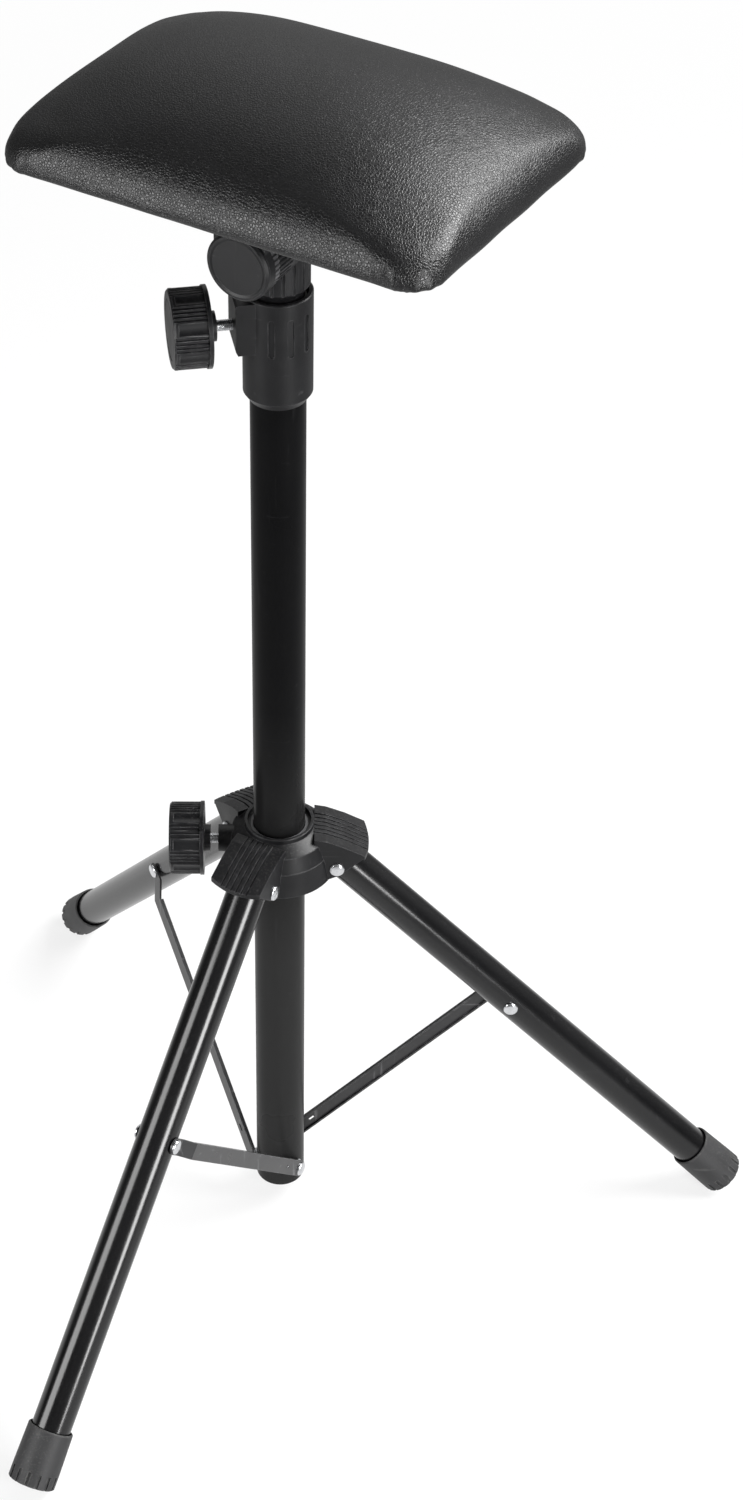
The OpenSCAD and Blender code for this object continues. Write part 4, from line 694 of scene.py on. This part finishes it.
def pad_rings(shrink=0.0):
    """Every ring of the pad as rows of points: the cut edge first, the crown's last ring at the end."""
    rings = []

    def row(inset, height, corner):
        ring = plan_ring(inset + shrink, corner)
        rings.append(np.column_stack((ring, np.full(len(ring), height))))

    for inset, height, corner in UNDER:
        row(inset * MM, height * MM, corner * MM)
    for height in SIDE_STEPS:
        left = 1 - height * MM / SIDE_HIGH
        row(HEM_IN * left ** 2, height * MM, (23 - 4.2 * left) * MM)
    for step in range(SHOULDER_STEPS + 1):
        angle = SHOULDER_END * step / SHOULDER_STEPS
        inset = (SHOULDER_WIDE - shrink) * (1 - math.cos(angle))
        height = SIDE_HIGH + (SHOULDER_HIGH - shrink) * math.sin(angle)
        row(inset, height, CORNER + CORNER_GROWTH * (inset + shrink))
    last = rings[-1]
    for step in range(1, CROWN_STEPS):
        inner = last[:, :2] * (1 - step / CROWN_STEPS)
        rings.append(np.column_stack((inner, crown_height(inner, shrink))))
    return rings


def skin(rings, first_end, last_end):
    """Points and faces of a closed skin over rings of points, with a middle point at each end."""
    count = len(rings[0])
    first, last = len(rings) * count, len(rings) * count + 1
    points = np.concatenate([*rings, np.array([first_end, last_end])])
    faces = []
    for ring in range(len(rings) - 1):
        for k in range(count):
            a, b = ring * count + k, ring * count + (k + 1) % count
            faces.append((a, b, b + count, a + count))
    top_ring = (len(rings) - 1) * count
    for k in range(count):
        faces.append((first, (k + 1) % count, k))
        faces.append((last, top_ring + k, top_ring + (k + 1) % count))
    return points, faces


def soften(rings, rounds=24):
    """Evens out the crown and the upper shoulder, so that no crease runs into the corners."""
    grid = np.stack(rings)
    first = len(UNDER) + len(SIDE_STEPS)
    share = np.clip((np.arange(len(grid)) - first - SOFT_STARTS) / SOFT_GROWS, 0, 1)[:, None, None] / 2
    for _ in range(rounds):
        along = (np.roll(grid, 1, axis=1) + np.roll(grid, -1, axis=1)) / 2
        inner = np.concatenate((grid[1:], grid[-1:]))
        outer = np.concatenate((grid[:1], grid[:-1]))
        inner[-1] = grid[-1].mean(axis=0) + (grid[-1] - grid[-1].mean(axis=0)) / 2
        grid = grid + ((along + (inner + outer) / 2) / 2 - grid) * share
    return list(grid)


def closed_form(shrink=0.0):
    """The pad's closed skin, drawn in by shrink."""
    rings = soften(pad_rings(shrink))
    return skin(rings, (0, 0, rings[0][0, 2]), (0, 0, rings[-1][:, 2].mean() + 0.05 * MM))


def make_piece(name, points, faces, place=Matrix.Identity(4)):
    """A smooth-shaded mesh object whose points are moved by place."""
    mesh = bpy.data.meshes.new(name)
    mesh.from_pydata([place @ Vector(p) for p in points], [], faces)
    mesh.shade_smooth()
    mesh.update()
    made = bpy.data.objects.new(name, mesh)
    bpy.context.scene.collection.objects.link(made)
    return made


pad_points, pad_faces = closed_form()
print("pad points:", len(pad_points), "faces:", len(pad_faces))

# %% [markdown]
# ### Letting the foam push
#
# Foam pushes the vinyl out wherever nothing holds it. Blender's cloth does the same with pressure: a
# slightly smaller copy of the pad is remeshed to even squares, its underside is pinned, and it is
# blown up for twenty frames with gravity off. Only the movement is kept, capped and less what is usual
# for it, so the pad keeps its size: what gives most bulges, and what is held stays back. Each point of
# the finely ringed pad takes the movement of the cloth round it, so the hem stays crisp.

# %% The cloth's movement
SMALLER, MOST_MOVED, VOXEL = 2.0 * MM, 5.0 * MM, 5.0 * MM
PINNED_BELOW, FREE_ABOVE = 3.0 * MM, SIDE_HIGH + 8 * MM
HEM_HELD, HEM_FREES = 2 * MM, 12 * MM
CLOTH_MASS, PRESSURE, STIFFNESS, SHEAR = 0.3, 6.0, 3.0, 1.5
QUALITY, FRAMES = 6, 20


def foam_push():
    """Start points and movements of a cloth that pressure pushes out."""
    cloth = make_piece("cloth_pad", *closed_form(SMALLER))
    remesh = cloth.modifiers.new("even squares", "REMESH")
    remesh.mode, remesh.voxel_size = "VOXEL", VOXEL
    graph = bpy.context.evaluated_depsgraph_get()
    even = bpy.data.meshes.new_from_object(cloth.evaluated_get(graph))
    cloth.modifiers.clear()
    cloth.data = even
    start = np.array([v.co[:] for v in even.vertices])
    held = cloth.vertex_groups.new(name="held")
    held.add([int(i) for i in np.flatnonzero(start[:, 2] < PINNED_BELOW)], 1.0, "REPLACE")
    press = cloth.modifiers.new("press", "CLOTH")
    press.settings.quality = QUALITY
    press.settings.mass = CLOTH_MASS
    press.settings.use_pressure = True
    press.settings.uniform_pressure_force = PRESSURE
    press.settings.tension_stiffness = press.settings.compression_stiffness = STIFFNESS
    press.settings.shear_stiffness = SHEAR
    press.settings.effector_weights.gravity = 0.0
    press.settings.vertex_group_mass = "held"
    press.point_cache.frame_start, press.point_cache.frame_end = 1, FRAMES
    for number in range(1, FRAMES + 1):
        bpy.context.scene.frame_set(number)
    graph = bpy.context.evaluated_depsgraph_get()
    after = np.array([v.co[:] for v in cloth.evaluated_get(graph).data.vertices])
    bpy.data.objects.remove(cloth)
    bpy.context.scene.frame_set(1)
    moved = after - start
    far = np.linalg.norm(moved, axis=1)
    print("cloth points:", len(start), "moved at most", round(far.max() / MM, 1), "mm, on average",
          round(far.mean() / MM, 1), "mm")
    moved *= np.minimum(1, MOST_MOVED / np.maximum(far, 1e-9))[:, None]
    far = np.linalg.norm(moved, axis=1)
    usual = far[start[:, 2] > FREE_ABOVE].mean()
    return start, moved * (1 - usual / np.maximum(far, usual / 2))[:, None]


def follow(points, start, moved, near=6):
    """Gives each point the mean movement of the cloth points near it."""
    tree = kdtree.KDTree(len(start))
    for i, p in enumerate(start):
        tree.insert(p, i)
    tree.balance()
    result = np.zeros_like(points)
    for i, p in enumerate(points):
        found = tree.find_n(p, near)
        weight = np.array([1 / (d + 0.5 * MM) for _, _, d in found])
        result[i] = (moved[[j for _, j, _ in found]] * weight[:, None]).sum(0) / weight.sum()
    return result


pushed_start, pushed = foam_push()
free = np.clip((pad_points[:, 2] - HEM_HELD) / HEM_FREES, 0, 1)[:, None]
shift = follow(pad_points, pushed_start, pushed) * free
most = float(np.linalg.norm(shift, axis=1).max())
print("the foam moves the vinyl by up to", round(most / MM, 2), "mm")
pad_points = pad_points + shift

# %% [markdown]
# ### Tucks at the corners
#
# Vinyl can't lie flat round a corner, so the upholsterer gathers it into small tucks that run from the
# staples up over the hem and fade out. Each tuck is a groove at an angle round the corner, with a
# slight swell on both sides. The corner nearest the camera has the deepest one, and two small tabs of
# folded vinyl stick out under it. Between the staples the hem isn't quite straight either. A tuck is
# given by its angle in degrees, and its depth and height in millimetres.

# %% Tucks and the hem
TUCKS = ((88, 1.6, 20), (62, 0.8, 12), (40, 0.7, 10), (20, 0.6, 9))
TUCK_WIDE, HEM_WAVE, FADES_UNDER = 4.5, 0.28 * MM, 13 * MM
SWELL, SWELL_AT, SWELL_WIDE = 0.45, 1.9, 0.8
TUCKS_START, TUCKS_GROW, HEM_ENDS = 14 * MM, 12 * MM, 10 * MM
WAVE_X, WAVE_Y = 6.1 * MM, 7.3 * MM
FRONT_CORNER = (1, -1)
TABS, TAB_WIDE, TAB_LONG = (85, 62), 2.2, 1.4 * MM
TAB_BELOW, TAB_REACH = 1.2 * MM, 4 * MM


def tucks_at(side_x, side_y):
    """Angle, depth and height of each tuck at one corner; every corner differs a little."""
    if (side_x, side_y) == FRONT_CORNER:
        return TUCKS
    shift = 5 * side_x + 3 * side_y
    return [(angle - 8 - shift, depth * (0.85 + 0.1 * side_x), high) for angle, depth, high in TUCKS]


def gather(points):
    """Draws the tucks into the corners, and waves the hem a little."""
    result = points.copy()
    side = np.where(points[:, :2] < 0, -1.0, 1.0)
    size = np.array((PAD_LONG, PAD_WIDE)) / 2
    middle = size - CORNER
    out = np.abs(points[:, :2]) - middle
    angle = np.degrees(np.arctan2(out[:, 1], out[:, 0]))
    near = np.clip((out.min(axis=1) + TUCKS_START) / TUCKS_GROW, 0, 1)
    edge = np.hypot(*np.maximum(out, 0).T)
    under = points[:, 2] < 0.5 * MM
    fade = np.where(under, np.clip(1 - (CORNER - edge) / FADES_UNDER, 0, 1), 1.0)
    outward = np.stack((np.cos(np.radians(angle)), np.sin(np.radians(angle))), axis=1) * side
    for side_x, side_y in CORNERS:
        here = (side[:, 0] == side_x) & (side[:, 1] == side_y)
        for turn, depth, high in tucks_at(side_x, side_y):
            off = (angle - turn) / TUCK_WIDE
            groove = np.exp(-off ** 2) - SWELL * np.exp(-((np.abs(off) - SWELL_AT) / SWELL_WIDE) ** 2)
            left = np.clip(1 - points[:, 2] / (high * MM), 0, 1) ** 1.5
            move = here * near * fade * groove * left * depth * MM
            result[:, :2] -= outward * move[:, None]
            result[:, 2] -= np.where(under, np.abs(move) * 0.5, 0)
        if (side_x, side_y) == FRONT_CORNER:
            hem = here * near * (points[:, 2] < TAB_BELOW)
            hem = hem * np.clip(1 - (CORNER - edge) / TAB_REACH, 0, 1)
            for turn in TABS:
                result[:, 2] -= TAB_LONG * hem * np.exp(-((angle - turn) / TAB_WIDE) ** 2)
    from_end = np.maximum(size[0] - np.abs(points[:, 0]), 0)
    low = np.clip(1 - points[:, 2] / HEM_ENDS, 0, 1)
    low *= np.where(under, np.clip(1 - from_end / FADES_UNDER, 0, 1), 1)
    wave = HEM_WAVE * low * (np.sin(points[:, 0] / WAVE_X + 0.7) + np.sin(points[:, 1] / WAVE_Y))
    centre_way = points[:, :2] / np.maximum(np.linalg.norm(points[:, :2], axis=1), 1 * MM)[:, None]
    result[:, :2] += centre_way * wave[:, None]
    return result


pad_points = gather(pad_points)


def settle(piece, levels):
    """Subdivides a piece and keeps the result as its mesh."""
    finer = piece.modifiers.new("finer", "SUBSURF")
    finer.levels = finer.render_levels = levels
    graph = bpy.context.evaluated_depsgraph_get()
    mesh = bpy.data.meshes.new_from_object(piece.evaluated_get(graph))
    piece.modifiers.clear()
    piece.data = mesh
    piece.data.shade_smooth()


arm_pad = make_piece("arm_pad", pad_points, pad_faces, pad_place)
settle(arm_pad, 1)
arm_pad.data.materials.append(pebbled_cover)
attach(arm_pad, "pad_bracket")
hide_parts("pad_cover", "pad_foam")
print("pad:", len(arm_pad.data.vertices), "points")

# %% [markdown]
# ### The lining
#
# A thin woven cloth hides the staples and the board. Its edge is turned under once and stapled, the
# mounting plate presses its middle flat, and between the two it hangs by about half a millimetre. It
# is a closed sheet of two layers, built as rings too.

# %% The lining under the board
CLOTH_LONG, CLOTH_WIDE, CLOTH_CORNER, CLOTH_THICK = 235.4 * MM, 160.2 * MM, 15 * MM, 0.5 * MM
CLOTH_HEM, CLOTH_SAG = 7.5 * MM, 0.6 * MM
PLATE_LONG, PLATE_WIDE, PLATE_SHIFT = 120 * MM, 90 * MM, -12 * MM
LEAST_CORNER, HANGS_FROM_PLATE, HANGS_FROM_HEM = 3 * MM, 14 * MM, 12 * MM
FOLD, CLEAR, RIM_HIGH = 0.35 * MM, 0.04 * MM, -0.3 * MM


def cloth_ring(inset):
    """Points of a round-cornered oblong, inset from the cloth's edge."""
    corner = max(CLOTH_CORNER - inset * 0.5, LEAST_CORNER)
    return oblong_ring(CLOTH_LONG / 2 - inset, CLOTH_WIDE / 2 - inset, corner, 8, (24, 24))


def hang(ring, inset):
    """How far the cloth hangs below the board."""
    off_x = np.abs(ring[:, 0] - PLATE_SHIFT) - PLATE_LONG / 2
    off_y = np.abs(ring[:, 1]) - PLATE_WIDE / 2
    free = np.clip(np.maximum(off_x, off_y) / HANGS_FROM_PLATE, 0, 1)
    pinned = np.clip((inset - CLOTH_HEM) / HANGS_FROM_HEM, 0, 1)
    ripple = 0.75 + 0.25 * np.sin(ring[:, 0] / (9 * MM)) * np.sin(ring[:, 1] / (11 * MM) + 1)
    return CLOTH_SAG * free * pinned * ripple


INSETS = [v * MM for v in (0.2, 1.5, 4, 6.8, 7.3, 7.6, 8.5, 11, 15, 20, 26, 33, 41, 50, 59, 68, 75)]
under_rings, upper_rings = [], []
for inset in INSETS:
    flat = cloth_ring(inset)
    fold = FOLD if inset < CLOTH_HEM else 0.0
    drop = hang(flat, inset)
    under_rings.append(np.column_stack((flat, -CLEAR - CLOTH_THICK - drop - fold)))
    upper_rings.append(np.column_stack((flat, -CLEAR - drop)))
edge = cloth_ring(0)
rim = [np.column_stack((edge, np.full(len(edge), RIM_HIGH)))]
cloth_rings = under_rings[::-1] + rim + upper_rings
cloth_points, cloth_faces = skin(cloth_rings, (0, 0, cloth_rings[0][0, 2]), (0, 0, cloth_rings[-1][0, 2]))
lining = make_piece("board_lining", cloth_points, cloth_faces, pad_place)
lining.data.materials.append(lining_cloth)
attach(lining, "pad_bracket")
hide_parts("pad_lining")
print("lining rings:", len(cloth_rings))

# %% [markdown]
# ## Threads on the clamp screws
#
# In the CAD model the clamp screws are smooth rods, which is right for fits and contacts. A short
# stretch of each can be seen between its nut and its knob, so there a fine ridge is wound round the
# rod. It is a three-sided band swept along a helix with the pitch of an M6 screw, and it rides with
# the screw, so it turns when the knob turns.

# %% Threads
PITCH, ROD, RIDGE, PER_TURN = 1.0 * MM, 3.0 * MM, 0.28 * MM, 28
SUNK, RIDGE_HALF, RUN_OUT = -0.06 * MM, 0.4, 8


def wind_thread(name, low, high, start, length, turned, body):
    """A helical ridge along a clamp screw that starts at a radius from the column's axis."""
    steps = int(length / PITCH * PER_TURN)
    points, faces = [], []
    for step in range(steps + 1):
        angle, along = 2 * math.pi * step / PER_TURN, length * step / steps
        swell = min(1, step / RUN_OUT, (steps - step) / RUN_OUT)
        for reach, shift in ((SUNK, -RIDGE_HALF * PITCH), (RIDGE * swell, 0), (SUNK, RIDGE_HALF * PITCH)):
            r = ROD + reach
            points.append((r * math.cos(angle), r * math.sin(angle), along + shift))
    for step in range(steps):
        for k in range(3):
            a, b = step * 3 + k, step * 3 + (k + 1) % 3
            faces.append((a, b, b + 3, a + 3))
    faces += [(2, 1, 0), tuple(steps * 3 + k for k in range(3))]
    middle = (low.z + high.z) / 2
    place = (Matrix.Rotation(math.radians(turned), 4, "Z") @ Matrix.Translation((start, 0, middle))
             @ Matrix.Rotation(math.pi / 2, 4, "Y"))
    thread = make_piece(name, points, faces, place)
    thread.data.materials.append(rivet_steel)
    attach(thread, body)
    return thread


wind_thread("hub_screw_thread", *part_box("hub_stud"), 33.2 * MM, 9.4 * MM, 180, "hub_clamp_screw")
wind_thread("height_screw_thread", *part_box("height_stud"), 25.2 * MM, 9.2 * MM, 190, "height_clamp_screw")
print("threads wound with a pitch of", PITCH / MM, "mm")
